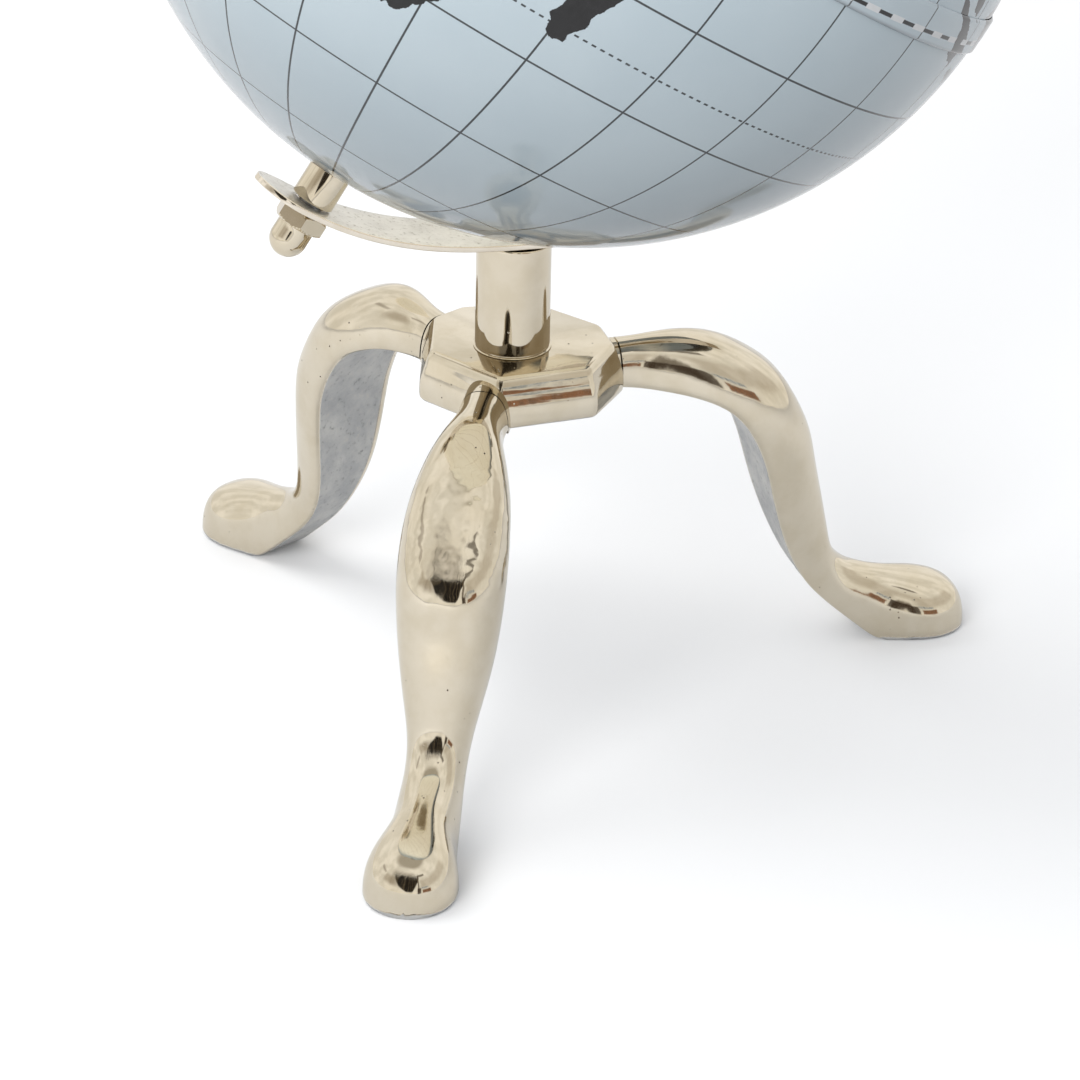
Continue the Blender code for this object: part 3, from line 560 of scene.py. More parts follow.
# Rough closed coastlines, as (longitude, latitude) in degrees.
COASTS = (
    # Africa
    ((-6, 35.8), (0, 36), (10, 37.3), (11, 34), (15, 32.4), (20, 30.8), (23, 32.6), (29, 31),
     (32.5, 31.3), (34, 28), (35.5, 24), (37, 21), (38, 18), (40, 15), (43, 12), (44, 10.5),
     (51, 12), (50.5, 9), (48, 4.5), (44, 1), (41, -2), (39, -5), (39.5, -8), (40.7, -11),
     (40.6, -15), (37, -18), (35, -20), (35.5, -23.5), (33, -25), (32.5, -28), (30, -31),
     (27, -33.6), (22, -34.1), (20, -34.8), (18.3, -34), (18, -32), (16.5, -28.6), (15, -26),
     (14.5, -22.5), (12, -18), (13.5, -13), (13, -9), (12, -5), (9, -1), (9.5, 3.5), (6, 4.3),
     (3, 6.4), (-2, 4.8), (-7.5, 4.4), (-11, 6.8), (-13.5, 9.5), (-16.5, 12.3), (-17.3, 14.8),
     (-16.3, 19), (-17, 21), (-14.5, 26), (-10, 29.5), (-9.5, 32.5)),
    ((49.3, -12), (50.4, -15.7), (49, -18.5), (47.2, -24.9), (45.2, -25.5), (43.5, -22.5),
     (44.3, -19.8), (44.4, -16.5), (47.5, -14.8)),
    # Europe and Asia
    ((-9.5, 43), (-9, 37), (-5.5, 36), (-1, 37.5), (0, 39), (3, 42), (6, 43), (9, 44.3),
     (11, 42.3), (15, 40), (16, 38), (18.3, 40), (14, 42.5), (12.5, 44.5), (14, 45.5), (18, 43),
     (19.5, 41), (22, 37), (24, 38), (23, 40.5), (27, 41), (29, 41.2), (28, 43.5), (30.5, 46.3),
     (33, 46), (35, 45), (39, 47), (38, 44.5), (41.5, 41.5), (35, 42), (31, 41.3), (27.5, 40.3),
     (27, 37), (31, 36.5), (36, 36.5), (35.5, 33), (34.3, 31.2), (35, 28), (37, 25),
     (39.5, 20.5), (42.5, 16.5), (43.5, 12.8), (48, 14), (52, 16), (55.5, 17.5), (59.5, 22),
     (56.5, 26), (54, 24.3), (51.5, 24.5), (50, 27), (48, 30), (51, 28), (56, 27), (61.5, 25.3),
     (66.5, 25), (70, 22), (72.8, 20), (73.5, 16), (76.5, 9), (77.5, 8.2), (80, 12),
     (80.2, 15.5), (85, 19.5), (89, 21.8), (92, 21.5), (94.2, 17), (97.5, 16.5), (98.5, 11),
     (98.3, 8.2), (101, 3), (103.7, 1.4), (103.3, 5), (100.5, 8), (99.5, 11.5), (101, 13.4),
     (103, 11), (105, 8.7), (107, 10.7), (109.3, 12.5), (108.5, 16), (106, 19.5), (108.5, 21.7),
     (113, 22), (117, 23.8), (120, 26.5), (122, 30), (120.5, 34), (119, 35), (122.3, 37),
     (118, 39), (121.5, 40.8), (124.5, 40), (126.5, 37.5), (126.5, 34.5), (129.3, 35.8),
     (128, 39.5), (130.7, 42.5), (135.5, 44.5), (140.5, 49), (140.5, 53), (136, 54.5), (142, 59),
     (152, 59.3), (157, 61.5), (163, 62), (156, 57), (156.5, 51.2), (162, 56), (163.5, 59.5),
     (170, 60), (178, 62.5), (183, 65), (190, 66.2), (181, 69), (170, 70), (160, 70),
     (150, 71.5), (140, 72.5), (130, 71.5), (113, 74), (104, 77.5), (90, 75.5), (80, 72.5),
     (72, 72.5), (68, 68.5), (60, 69), (54, 68.5), (44, 68), (40, 66.3), (34, 66.5), (41, 67),
     (36, 69.3), (28, 71), (20, 70), (14, 67), (11, 64), (5, 61.5), (5.5, 59), (8, 58),
     (10.5, 59.2), (12.5, 56.2), (14.5, 55.6), (16.5, 57.5), (18.8, 60), (17.5, 62), (22, 65.5),
     (25, 65), (21.5, 61), (28, 60.5), (24, 59), (21.5, 57.5), (20, 55), (14, 54), (10.8, 54),
     (10.5, 57.3), (8.2, 56), (8.5, 53.8), (5, 53), (2, 51), (-1.5, 49.7), (-4.7, 48.4),
     (-1.2, 46), (-1.8, 43.4)),
    ((-5.5, 50), (1.3, 51.2), (0.5, 53), (-1.5, 55), (-2, 57.5), (-5, 58.6), (-6, 56.5),
     (-4.8, 54.8), (-3, 53.8), (-4.8, 52.5), (-3, 51.4)),
    ((-6.2, 52.2), (-6, 54.5), (-8, 55.2), (-10, 54), (-9.8, 51.6)),
    ((-24, 65.5), (-18, 66.3), (-14, 65), (-18, 63.4), (-22.5, 63.9)),
    # Greenland and North America
    ((-73, 78.5), (-60, 82), (-32, 83.5), (-18, 80), (-20, 74), (-24, 70), (-37, 65.8),
     (-43, 60), (-51, 62.5), (-54, 67.5), (-55, 71), (-60, 75.8)),
    ((-168, 65.5), (-165, 68.3), (-156, 71.2), (-140, 69.8), (-128, 70), (-115, 68.5),
     (-108, 68), (-95, 68), (-94, 72), (-88, 68), (-82, 69), (-86, 66), (-93, 62),
     (-94.5, 58.7), (-88, 56.5), (-82.3, 55.2), (-80, 51.3), (-79, 54.5), (-77, 60),
     (-78, 62.4), (-70, 61), (-65, 59.5), (-61, 56), (-56, 52.5), (-60, 50), (-66.5, 50.2),
     (-65, 48), (-61, 46), (-66, 43.7), (-70, 43.7), (-70.5, 41.7), (-74, 40.5), (-75.7, 36),
     (-81, 31.5), (-80.2, 26), (-81.8, 26), (-82.8, 29), (-85, 29.8), (-90, 29.3),
     (-94.5, 29.5), (-97.3, 27), (-97.7, 22), (-95, 18.5), (-91, 18.5), (-90, 21), (-87, 21.5),
     (-88.5, 16), (-84, 15.8), (-83.5, 11), (-80, 9), (-77.5, 8.4), (-80.5, 7.4), (-85.5, 10),
     (-88, 13), (-94, 16), (-100, 17), (-105.5, 20.5), (-109, 25.5), (-112.8, 31),
     (-114.7, 31.7), (-111, 26), (-109.6, 23), (-112, 26), (-115, 30), (-117.2, 32.7),
     (-120.5, 34.5), (-124, 39), (-124.2, 44), (-123.5, 48.5), (-128, 51), (-132, 56),
     (-139, 59.8), (-148, 60.5), (-153, 58), (-160, 55.5), (-163, 55), (-157, 58.5),
     (-162, 59), (-165, 62)),
    ((-66, 62), (-73, 64.5), (-74, 67.5), (-85, 70), (-88, 73.5), (-80, 73.5), (-70, 70.5),
     (-62, 66.5)),
    ((-117, 69.8), (-105, 69), (-105, 73), (-117, 73)),
    ((-90, 76.5), (-90, 80), (-80, 83), (-62, 82.5), (-78, 76.5)),
    ((-124, 71.5), (-120, 74.3), (-117, 73.2), (-121, 71.2)),
    ((-85, 22), (-80, 23.2), (-74.3, 20.2), (-77.5, 19.8), (-81, 21.8)),
    ((-74.3, 18.5), (-72.8, 19.9), (-68.5, 18.7), (-71.3, 17.8)),
    # South America
    ((-77.5, 8.5), (-75, 10.8), (-71.7, 12.3), (-68, 11), (-62, 10.6), (-57, 6), (-51.5, 4.5),
     (-50, 0), (-44, -2.5), (-38.5, -3.8), (-35, -6), (-35, -9), (-39, -13), (-39, -17.5),
     (-41, -22), (-48, -25.5), (-49, -29), (-53.5, -34), (-58, -34.2), (-57, -37), (-62, -39),
     (-65, -41), (-65.5, -45), (-69, -50.5), (-68.5, -52.5), (-65.5, -55), (-71, -54.5),
     (-75, -51), (-75, -46), (-73, -41.5), (-73.5, -37), (-71.5, -32), (-70.3, -24),
     (-70.5, -18.5), (-76, -14), (-79.5, -8), (-81.3, -5), (-80, -2), (-78.8, 1.5), (-77.3, 4)),
    # Australia, New Zealand and the islands
    ((113.5, -22.5), (114, -26.5), (115.5, -32), (118, -35), (124, -33.7), (129, -31.6),
     (134, -32.8), (136, -34.8), (138, -33), (138.5, -35.6), (140.5, -38), (144, -38.6),
     (147, -38.5), (150, -37.3), (153, -31), (153.2, -26), (150.5, -23), (146.5, -19),
     (145.3, -15), (142.5, -10.8), (141.5, -14), (140, -17.5), (136, -15.5), (136.8, -12.2),
     (132.5, -11.5), (129.8, -14.8), (126, -14), (122.5, -17.5), (117, -20.7)),
    ((144.8, -40.8), (148.2, -41), (147, -43.5)),
    ((172.8, -34.5), (175.5, -36.8), (178.5, -37.7), (176.5, -40.5), (174.8, -41.4),
     (174.5, -39), (174, -37)),
    ((172.8, -40.6), (174.2, -42), (171, -45.5), (168.5, -46.6), (166.6, -45.8), (170, -43)),
    ((131, -0.9), (134, -2.5), (138, -1.7), (141, -2.6), (147.5, -6), (150.5, -10.5),
     (146.5, -8.8), (143, -9), (138, -8.2), (138, -6), (133, -4)),
    ((109, 1.5), (112, 3), (115.5, 5), (117, 7), (119, 5), (117.5, 1), (116, -4), (111, -3)),
    ((95.3, 5.6), (98.5, 3.5), (103.5, -1), (106, -3.5), (105.5, -5.8), (102, -4), (98.5, 1)),
    ((105.3, -6.2), (108.5, -6.3), (112.5, -6.6), (114.5, -8.3), (110, -8.6)),
    ((119.3, -5.5), (119.8, 0), (121, 1.4), (125, 1.5), (121.5, 0.3), (122.7, -3.5),
     (121.5, -5), (120.5, -2.8)),
    ((120.3, 16), (121, 18.7), (122.4, 18.3), (121.6, 14.5), (124, 12.6), (126.5, 8),
     (125, 5.8), (122.2, 7.2), (123.5, 9), (120.5, 14)),
    ((80, 9.8), (82, 7.5), (80.6, 5.8), (79.6, 7.5)),
    ((130, 31.3), (131.8, 33.5), (136, 33.7), (140.7, 35.8), (141.8, 39.5), (140.3, 41.3),
     (139.5, 38), (136.5, 36.8), (132, 35.3), (130, 33.3)),
    ((140.2, 41.7), (143.2, 42.1), (145.4, 43.4), (141.8, 45.4), (140.5, 43.2)),
    ((141.8, 46.3), (143.7, 49.3), (143.1, 53.8), (142, 50)),
    ((52, 71), (56, 73.5), (68, 76.7), (60, 75.3), (55.5, 71)),
    ((12, 79.8), (25, 80.2), (21, 78), (16, 76.8)),
)


def drawn_lat(lat):
    drawn = np.interp(np.abs(lat), list(DRAWN), list(DRAWN.values()))
    return np.sign(lat) * drawn


def crinkled(outline, rng, levels=2):
    """A closed outline, its edges halved levels times with each midpoint moved aside."""
    points = np.asarray(outline, float)
    for _ in range(levels):
        following = np.roll(points, -1, axis=0)
        edge = following - points
        length = np.hypot(edge[:, 0], edge[:, 1])
        side = np.stack([-edge[:, 1], edge[:, 0]], 1)
        shift = rng.uniform(-0.13, 0.13, len(points))
        shift *= np.minimum(1.0, 3.0 / np.maximum(length, 0.1))
        middle = (points + following) / 2 + side * shift[:, None]
        points = np.stack([points, middle], 1).reshape(-1, 2)
    return points


def land_distance(directions):
    """Signed distance in mm to the nearest shore, positive on land, for unit vectors
    in the print's frame."""
    rng = np.random.default_rng(7)
    lat = np.degrees(np.arcsin(np.clip(directions[:, 2], -1, 1)))
    lon = np.degrees(np.arctan2(directions[:, 1], directions[:, 0]))
    order = np.argsort(lat)
    sorted_lat = lat[order]
    inside = np.zeros(len(lat), bool)
    shore = []
    for outline in COASTS:
        points = crinkled(outline, rng)
        points[:, 1] = drawn_lat(points[:, 1])
        for (x0, y0), (x1, y1) in zip(points, np.roll(points, -1, axis=0)):
            length = max(math.hypot(x1 - x0, y1 - y0), 0.01)
            for t in np.arange(0, 1, min(1.0, 0.45 / length)):
                shore.append((x0 + (x1 - x0) * t, y0 + (y1 - y0) * t))
            if y0 == y1:
                continue
            start, end = np.searchsorted(sorted_lat, (min(y0, y1), max(y0, y1)), "left")
            some = order[start:end]
            cross = x0 + (lat[some] - y0) * (x1 - x0) / (y1 - y0)
            for turn in (0.0, 360.0):   # outlines may run past 180 east
                inside[some] ^= (lon[some] + turn) < cross
    x, y = np.radians(np.asarray(shore)).T
    points = np.stack([np.cos(y) * np.cos(x), np.cos(y) * np.sin(x), np.sin(y)], 1)
    tree = kdtree.KDTree(len(points))
    for i, point in enumerate(points):
        tree.insert(point, i)
    tree.balance()
    far = np.array([tree.find(direction)[2] for direction in directions]) * GLOBE_R
    return np.where(inside, far, -far)


def add_land(mesh, count=None):
    """The "land" attribute: shore distance for the first count vertices, -9 for the rest."""
    flat = np.empty(len(mesh.vertices) * 3)
    mesh.vertices.foreach_get("co", flat)
    local = flat.reshape(-1, 3) - np.array(CENTRE)
    local /= np.linalg.norm(local, axis=1)[:, None]
    values = np.full(len(local), -9.0)
    values[:count] = land_distance(local[:count] @ np.array(PRINT_AXES).T)
    float_attribute(mesh, "land", values)


# Material slot: its material and the body that its pieces ride.
SKINS = {
    "cast_nickel": (nickel(
        "cast_nickel_skin", colour=(0.70, 0.635, 0.515), rough=0.055, wave=0.00006, pits=0.9,
        grain=(1, 1, 1), planished=POST + Vector((-0.0225, -0.0395, 0.0535))), "stand"),
    "turned_nickel": (nickel(
        "turned_nickel_skin", colour=(0.70, 0.63, 0.505), rough=0.045, wave=0.000008,
        pits=0.25, grain=(1, 1, 14)), "stand"),
    "strip_nickel": (strip_nickel("strip_nickel_skin"), "stand"),
    "zinc_steel": (zinc_steel("zinc_steel_skin"), "stand"),
    "white_nylon": (nylon("white_nylon_skin"), "globe"),
    "printed_globe": (globe_print("printed_globe_skin"), "globe"),
    "printed_tape": (globe_print("printed_tape_skin", band=True), "globe"),
}


# ---- legs -------------------------------------------------------------------
def d_section(angle, half_width):
    """A point of the D section: (across, share of the depth)."""
    cos = math.cos(angle)
    across = math.copysign(abs(cos) ** (2 / LEG_FULLNESS), cos) * half_width
    return across, math.sin(angle) ** (2 / LEG_FULLNESS)


def leg_stations(side, neck, reach, knee_out, knee_up):
    """LEG_STATIONS fitted to one leg, with a last small one that rounds the toe."""
    rows = []
    for k, (in_r, in_z, out_r, out_z, half_width) in enumerate(LEG_STATIONS):
        if side == "front":
            out_r, out_z = FRONT_KNEE.get(k, (out_r, out_z))
        mid_r, mid_z = 0.5 * (in_r + out_r), 0.5 * (in_z + out_z)
        knee = smoothstep((mid_z - 18.0) / 24.0) * smoothstep((mid_r - 18.0) / 12.0)
        shift = (reach - LEG_REACH) * smoothstep((mid_r - neck) / 14.0) + knee_out * knee
        if k == 0:
            shift = neck + GAP - in_r
        lift = knee_up * knee
        rows.append((in_r + shift, in_z + lift, out_r + shift, out_z + lift, half_width))
    in_r, _, out_r, out_z, half_width = rows[-1]
    rows.append((in_r + 0.14, 0.0, out_r + 0.14, out_z - 0.9, half_width - 1.3))
    return np.asarray(rows)


def fine_stations(rows):
    """Columns of the stations, resampled about every 0.5 mm and softened."""
    mid = (rows[:, :2] + rows[:, 2:4]) / 2
    along = np.concatenate([[0], np.cumsum(np.hypot(*np.diff(mid, axis=0).T))])
    end = along[-1]
    # finer towards the toe's end, where the outline turns quickly
    at = end * (1 - (1 - np.linspace(0, 1, int(end / 0.5))) ** 1.25)
    keep = np.clip((end - at) / 2.0, 0, 1)
    columns = []
    for k in range(5):
        flat_side = k < 2
        column = (np.interp if not flat_side else spline)(at, along, rows[:, k]) if False else (
            np.interp(at, along, rows[:, k]) if flat_side else spline(along, rows[:, k], at))
        soft = soften(column, 3.0 if flat_side else 2.2)
        columns.append(column * (1 - keep) + soft * keep)
    in_r, in_z = columns[:2]
    in_z = np.maximum(in_z, 0.0)
    in_z[(in_r > 62.5) & (in_z < 0.12)] = 0.0
    return in_r, in_z, *columns[2:]


def leg_ring(half_width, deep, arcs=46, flat=9, corner=0.9):
    """One D section: (across, share of the depth, cast), its flat on the inner side."""
    radius = min(corner, 0.25 * half_width, 0.25 * deep)
    straight = half_width - radius

    def edge(side, degrees):
        angle = math.radians(degrees)
        depth = (radius - radius * math.sin(angle)) / deep
        return side * (straight + radius * math.cos(angle)), depth, 0.2 * (degrees == 90)

    low = math.asin(min(1.0, (radius / deep) ** (LEG_FULLNESS / 2)))
    ring = []
    for i in range(arcs + 1):
        ring.append((*d_section(low + (math.pi - 2 * low) * i / arcs, half_width), 0.0))
    ring += [edge(-1, 45), edge(-1, 90)]
    ring += [(-straight + 2 * straight * i / flat, 0.0, 1.0) for i in range(1, flat)]
    return ring + [edge(1, 90), edge(1, 45)]


def leg(side, azimuth, aside, neck, reach, knee_out, knee_up):
    stations = fine_stations(leg_stations(side, neck, reach, knee_out, knee_up))
    turn = math.radians(azimuth)
    verts, cast = [], []
    for in_r, in_z, out_r, out_z, half_width in zip(*stations):
        inner, outer = Vector((in_r, in_z)), Vector((out_r, out_z))
        ring = leg_ring(half_width, (outer - inner).length)
        for across, depth, bare in ring:
            point = inner + (outer - inner) * depth
            x, y = turned(point.x, across + aside, turn)
            z = point.y
            if bare == 1.0 and z > 1.0:   # the unpolished face is slightly uneven
                spot = Vector((x, y, z))
                lift = 0.10 * noise.noise(spot * 0.55) + 0.05 * noise.noise(spot * 1.9)
                x, y = x + lift * math.cos(turn), y + lift * math.sin(turn)
            verts.append((x, y, z))
            cast.append(bare)
    faces = capped_faces(len(ring), len(stations[0]))
    name = f"leg_{side}_casting"
    mesh = mesh_of(name, verts, faces, 50)
    float_attribute(mesh, "cast", cast)
    add_piece(name, mesh, "cast_nickel", "leg_" + side, TO_POST)


for side, numbers in LEGS.items():
    leg(side, *numbers)


# ---- hub --------------------------------------------------------------------
HUB_APOTHEM, HUB_X, HUB_Y = 15.0, 1.5, 1.3
HUB_RECESS_R = 7.6
# Where the sides beside a leg end, across its neck.
HUB_SHOULDER = {"right": (-4.8, 4.3), "left": (-4.3, 3.6)}
# Depth below the top, and how far the sides sit inside the outline.
HUB_LEVELS = (
    (0.0, 2.25), (0.10, 2.02), (0.55, 1.62), (1.6, 1.16), (2.7, 0.88), (2.9, 0.80),
    (3.8, 0.50), (4.9, 0.20), (5.8, 0.03), (7.6, 0.0), (8.3, 0.10), (8.75, 0.42),
    (HUB_TOP - HUB_FOOT, 0.9),
)
LEG_STUD_Z, LEG_STUD_BORE_R = 57.8, 2.3


def hub_outline():
    """Corners of the plan; numbers are azimuths of plain hexagon corners."""
    circum = HUB_APOTHEM / math.cos(math.pi / 6)
    outline = []
    for corner in ("right", 60, "left", 180, 240, 300):
        if corner in LEGS:
            azimuth, aside, neck, *_ = LEGS[corner]
            for across in HUB_SHOULDER[corner]:
                point = turned(neck + GAP, across + aside, math.radians(azimuth))
                outline.append(Vector(point))
        else:
            x, y = turned(circum, 0.0, math.radians(corner))
            outline.append(Vector((HUB_X + x, HUB_Y + y)))
    return outline


def moved_in(outline, inset):
    """The outline with every side moved in by inset."""
    lines = []
    for i, start in enumerate(outline):
        along = (outline[(i + 1) % len(outline)] - start).normalized()
        lines.append((start + Vector((-along.y, along.x)) * inset, along))
    out = []
    for i, (q, e) in enumerate(lines):
        p, d = lines[i - 1]
        t = ((q.x - p.x) * e.y - (q.y - p.y) * e.x) / (d.x * e.y - d.y * e.x)
        out.append(p + d * t)
    return out


def hub_body():
    outline = hub_outline()
    bm = bmesh.new()
    rings = []
    for down, inset in HUB_LEVELS[::-1]:
        z = (HUB_TOP - down) * MM
        points = moved_in(outline, inset)
        rings.append([bm.verts.new((point.x * MM, point.y * MM, z)) for point in points])
    bm.faces.new(rings[0][::-1])
    bm.faces.new(rings[-1])
    for low, high in zip(rings, rings[1:]):
        for i in range(len(outline)):
            j = (i + 1) % len(outline)
            bm.faces.new((low[i], low[j], high[j], high[i]))
    bmesh.ops.recalc_face_normals(bm, faces=bm.faces)
    # soften the upright corners
    upright = [e for e in bm.edges if abs(e.verts[0].co.z - e.verts[1].co.z) > 1e-6]
    bmesh.ops.bevel(bm, geom=upright, offset=0.7 * MM, segments=4, affect="EDGES", profile=0.5)
    return temporary(mesh_from("hub", bm))


def neck_stub(neck, first=9.0, rows=12):
    """The neck's D section drawn out along X."""
    _, low, _, high, half_width = LEG_STATIONS[0]
    section = []
    for i in range(37):
        across, depth = d_section(math.pi * i / 36, half_width)
        section.append((across, low + (high - low) * depth))
    verts = []
    for k in range(rows + 1):
        x = first + (neck + 1.5 - first) * k / rows
        verts += [(x, across, z) for across, z in section]
    return temporary(mesh_of("stub", verts, capped_faces(len(section), rows + 1), 50))


def neck_box(neck):
    """Clears the space outside the neck's joint face."""
    bm = bmesh.new()
    bmesh.ops.create_cube(bm, size=1.0)
    bmesh.ops.scale(bm, vec=(10 * MM, 30 * MM, 30 * MM), verts=bm.verts)
    bmesh.ops.translate(bm, vec=((neck + 5) * MM, 0, (HUB_TOP - 5) * MM), verts=bm.verts)
    return temporary(mesh_from("box", bm))


def hub():
    """Hexagonal casting with drafted sides, and a stub for each leg's neck."""
    obj = hub_body()
    others = []
    for azimuth, aside, neck, *_ in LEGS.values():
        place = Matrix.Rotation(math.radians(azimuth), 4, "Z")
        place = place @ Matrix.Translation((0, aside * MM, 0))
        stub, box = neck_stub(neck), neck_box(neck)
        drill = rod(LEG_STUD_BORE_R, 8.0, 27.0)
        stub.matrix_world = box.matrix_world = place
        drill.matrix_world = (place @ Matrix.Translation((0, 0, LEG_STUD_Z * MM))
                              @ Matrix.Rotation(math.pi / 2, 4, "Y"))
        combine(obj, stub, "UNION")
        combine(obj, box)
        combine(obj, drill)
        others += [stub, box, drill]
    for radius, top in ((STUD_BORE_R, HUB_TOP + 5), (HUB_RECESS_R, HUB_TOP - HUB_FLOOR)):
        drill = rod(radius, HUB_FOOT - 5, top, 64)
        combine(obj, drill)
        others.append(drill)
    mesh = baked(obj, others, 28)
    sole = (HUB_FOOT + 0.3) * MM
    float_attribute(mesh, "cast", [float(v.co.z < sole) for v in mesh.vertices])
    add_piece("hub_casting", mesh, "cast_nickel", "base_hub", TO_POST)


hub()

# ---- strip that carries the axle --------------------------------------------
# Inner radius, then depth, angle and angular width of the dip over the post.
ARM_R, ARM_DIP, ARM_DIP_AT, ARM_DIP_WIDTH = 82.3, 4.4, -92.0, 20.0
ARM_T, ARM_HALF_W, ARM_EDGE_R = 1.0, 6.0, 0.17
ARM_OVERHANG, ARM_TIP = 7.3, 5.5   # degrees past the axle, and of each rounded tip
SOUTH, NORTH = -90.0 - TILT, 90.0 - TILT


def arm_radius(theta):
    return ARM_R - ARM_DIP * math.exp(-(((theta - ARM_DIP_AT) / ARM_DIP_WIDTH) ** 2))


def arm_point(theta, extra=0.0):
    """A point at theta degrees from +X in the XZ plane, about the globe's centre."""
    angle, radius = math.radians(theta), arm_radius(theta) + extra
    return Vector((radius * math.cos(angle), 0.0, radius * math.sin(angle)))


def arm_tangent(theta):
    return (arm_point(theta + 0.05) - arm_point(theta - 0.05)).normalized()


OFFSET_X = (CENTRE.x - POST.x) / MM
SEAT = -90.0 - math.degrees(math.asin(OFFSET_X / (arm_radius(-97.0) + ARM_T)))


def arm_section(half):
    """(depth from the inner face, across, satin) round the strip."""
    radius, flat = ARM_EDGE_R, half - ARM_EDGE_R
    side = []
    for angle in map(math.radians, (30, 60, 90)):
        side.append((radius - radius * math.cos(angle), flat + radius * math.sin(angle), 0.0))
    for angle in map(math.radians, (0, 30, 60, 90)):
        depth = ARM_T - radius + radius * math.sin(angle)
        side.append((depth, flat + radius * math.cos(angle), 0.0))
    inner = [(0.0, -flat + 2 * flat * i / 8, 1.0) for i in range(9)]
    back = [(ARM_T, flat - 2 * flat * i / 8, 0.0) for i in range(1, 8)]
    return inner + side + back + [(depth, -y, satin) for depth, y, satin in side[::-1]]


def arm():
    first, last, body = SOUTH - ARM_OVERHANG, NORTH + ARM_OVERHANG, 200
    tip = [ARM_TIP * (1 - math.cos(math.pi / 2 * i / 22)) for i in range(23)]
    angles = [first + turn for turn in tip]
    angles += [first + ARM_TIP + (last - first - 2 * ARM_TIP) * i / body
               for i in range(1, body)]
    angles += [last - turn for turn in tip[::-1]]
    verts, satin = [], []
    for theta in angles:
        end = min(theta - first, last - theta, ARM_TIP) / ARM_TIP
        width = math.sqrt(max(1 - (1 - end) ** 2, 0.0))
        section = arm_section(ARM_HALF_W * max(width, 0.12))
        tangent = arm_tangent(theta)
        out = Vector((tangent.z, 0.0, -tangent.x))
        for depth, y, dull in section:
            point = arm_point(theta) + out * depth
            verts.append((point.x, y, point.z))
            satin.append(dull)
    mesh = mesh_of("strip", verts, capped_faces(len(section), len(angles)), 50)
    float_attribute(mesh, "satin", satin)
    obj = temporary(mesh)
    drills = []
    for turn in (0.0, math.pi):
        drill = rod(AXLE_R + GAP, GLOBE_R + 3, GLOBE_R + 12)
        drill.matrix_world = Matrix.Rotation(math.radians(TILT) + turn, 4, "Y")
        drills.append(drill)
    screw = rod(SCREW_BORE_R, -6, 6)
    screw.matrix_world = Matrix.Translation(arm_point(SEAT) * MM)
    drills.append(screw)
    for drill in drills:
        combine(obj, drill)
    mesh = baked(obj, drills, 50)
    place = Matrix.Translation(CENTRE)
    add_piece("meridian_strip", mesh, "strip_nickel", "meridian_arm", place)


arm()

# ---- post -------------------------------------------------------------------
# Collar and groove at the foot: radius beyond the post's own, height above the foot.
POST_FOOT = (
    (0.22, 0.0), (0.30, 0.06), (0.30, 0.14), (0.18, 0.24), (-0.10, 0.27), (-0.12, 0.36),
    (-0.03, 0.46), (0.0, 0.6),
)


def post(steps=128, levels=40):
    """Turned rod, its top cut to the strip's slope and its bore running right through."""
    foot = HUB_TOP + 0.05
    top = CENTRE.z / MM + arm_point(SEAT, ARM_T).z - GAP
    tangent = arm_tangent(SEAT)
    slope = tangent.z / tangent.x
    start, rim = foot + POST_FOOT[-1][1], top - 0.15
    screw_end, stud_end = top - 7.3, foot + 8.3
    # a screw bore that ends too near the stud bore takes its radius
    end_r = SCREW_BORE_R if screw_end > foot + 9 else STUD_BORE_R
    # rings: radius, height, slope
    rings = [(STUD_BORE_R, foot, 0.0)]
    rings += [(POST_R + extra, foot + up, 0.0) for extra, up in POST_FOOT]
    for k in range(1, levels + 1):
        rings.append((POST_R, start + (rim - start) * k / levels, slope * k / levels))
    rings += [
        (POST_R - 0.06, top - 0.05, slope), (POST_R - 0.2, top, slope),
        (SCREW_BORE_R, top, slope), (end_r, screw_end, 0.0),
        (SCREW_BORE_R, stud_end, 0.0), (STUD_BORE_R, stud_end, 0.0),
    ]
    verts = []
    for radius, z, tilt in rings:
        verts += circle(radius, z, steps, slope=tilt)
    mesh = mesh_of("post_rod", verts, ring_faces(steps, len(rings), closed=True), 40)
    add_piece("post_rod", mesh, "turned_nickel", "post", TO_POST)


post()

# ---- nuts -------------------------------------------------------------------
NUT_STEPS = 144


def hex_verts(apothem, base, height, turn):
    """Underside ring and hexagonal sides, the corners cut by a cone at both faces."""
    edge = (0.0, 0.04, 0.12, 0.22, 0.34, 0.48)
    levels = [*edge]
    levels += [edge[-1] + (height - 2 * edge[-1]) * i / 10 for i in range(1, 11)]
    levels += [height - z for z in edge[-2::-1]]
    verts = circle(0.80 * apothem, base, NUT_STEPS, turn)
    for z in levels:
        cone = apothem * 0.96 + min(z, height - z) * 1.75 + 0.05
        for i in range(NUT_STEPS):
            angle = math.tau * i / NUT_STEPS
            flat = apothem / math.cos(angle % (math.pi / 3) - math.pi / 6)
            verts.append((*turned(min(cone, flat), 0.0, angle + turn), base + z))
    return verts


def hex_nut(name, apothem, base, height, bore):
    verts = hex_verts(apothem, base, height, 0.0)
    for radius, z in ((0.80 * apothem, height), (bore, height), (bore, 0.0)):
        verts += circle(radius, base + z, NUT_STEPS)
    faces = ring_faces(NUT_STEPS, len(verts) // NUT_STEPS, closed=True)
    return mesh_of(name, verts, faces, 28)


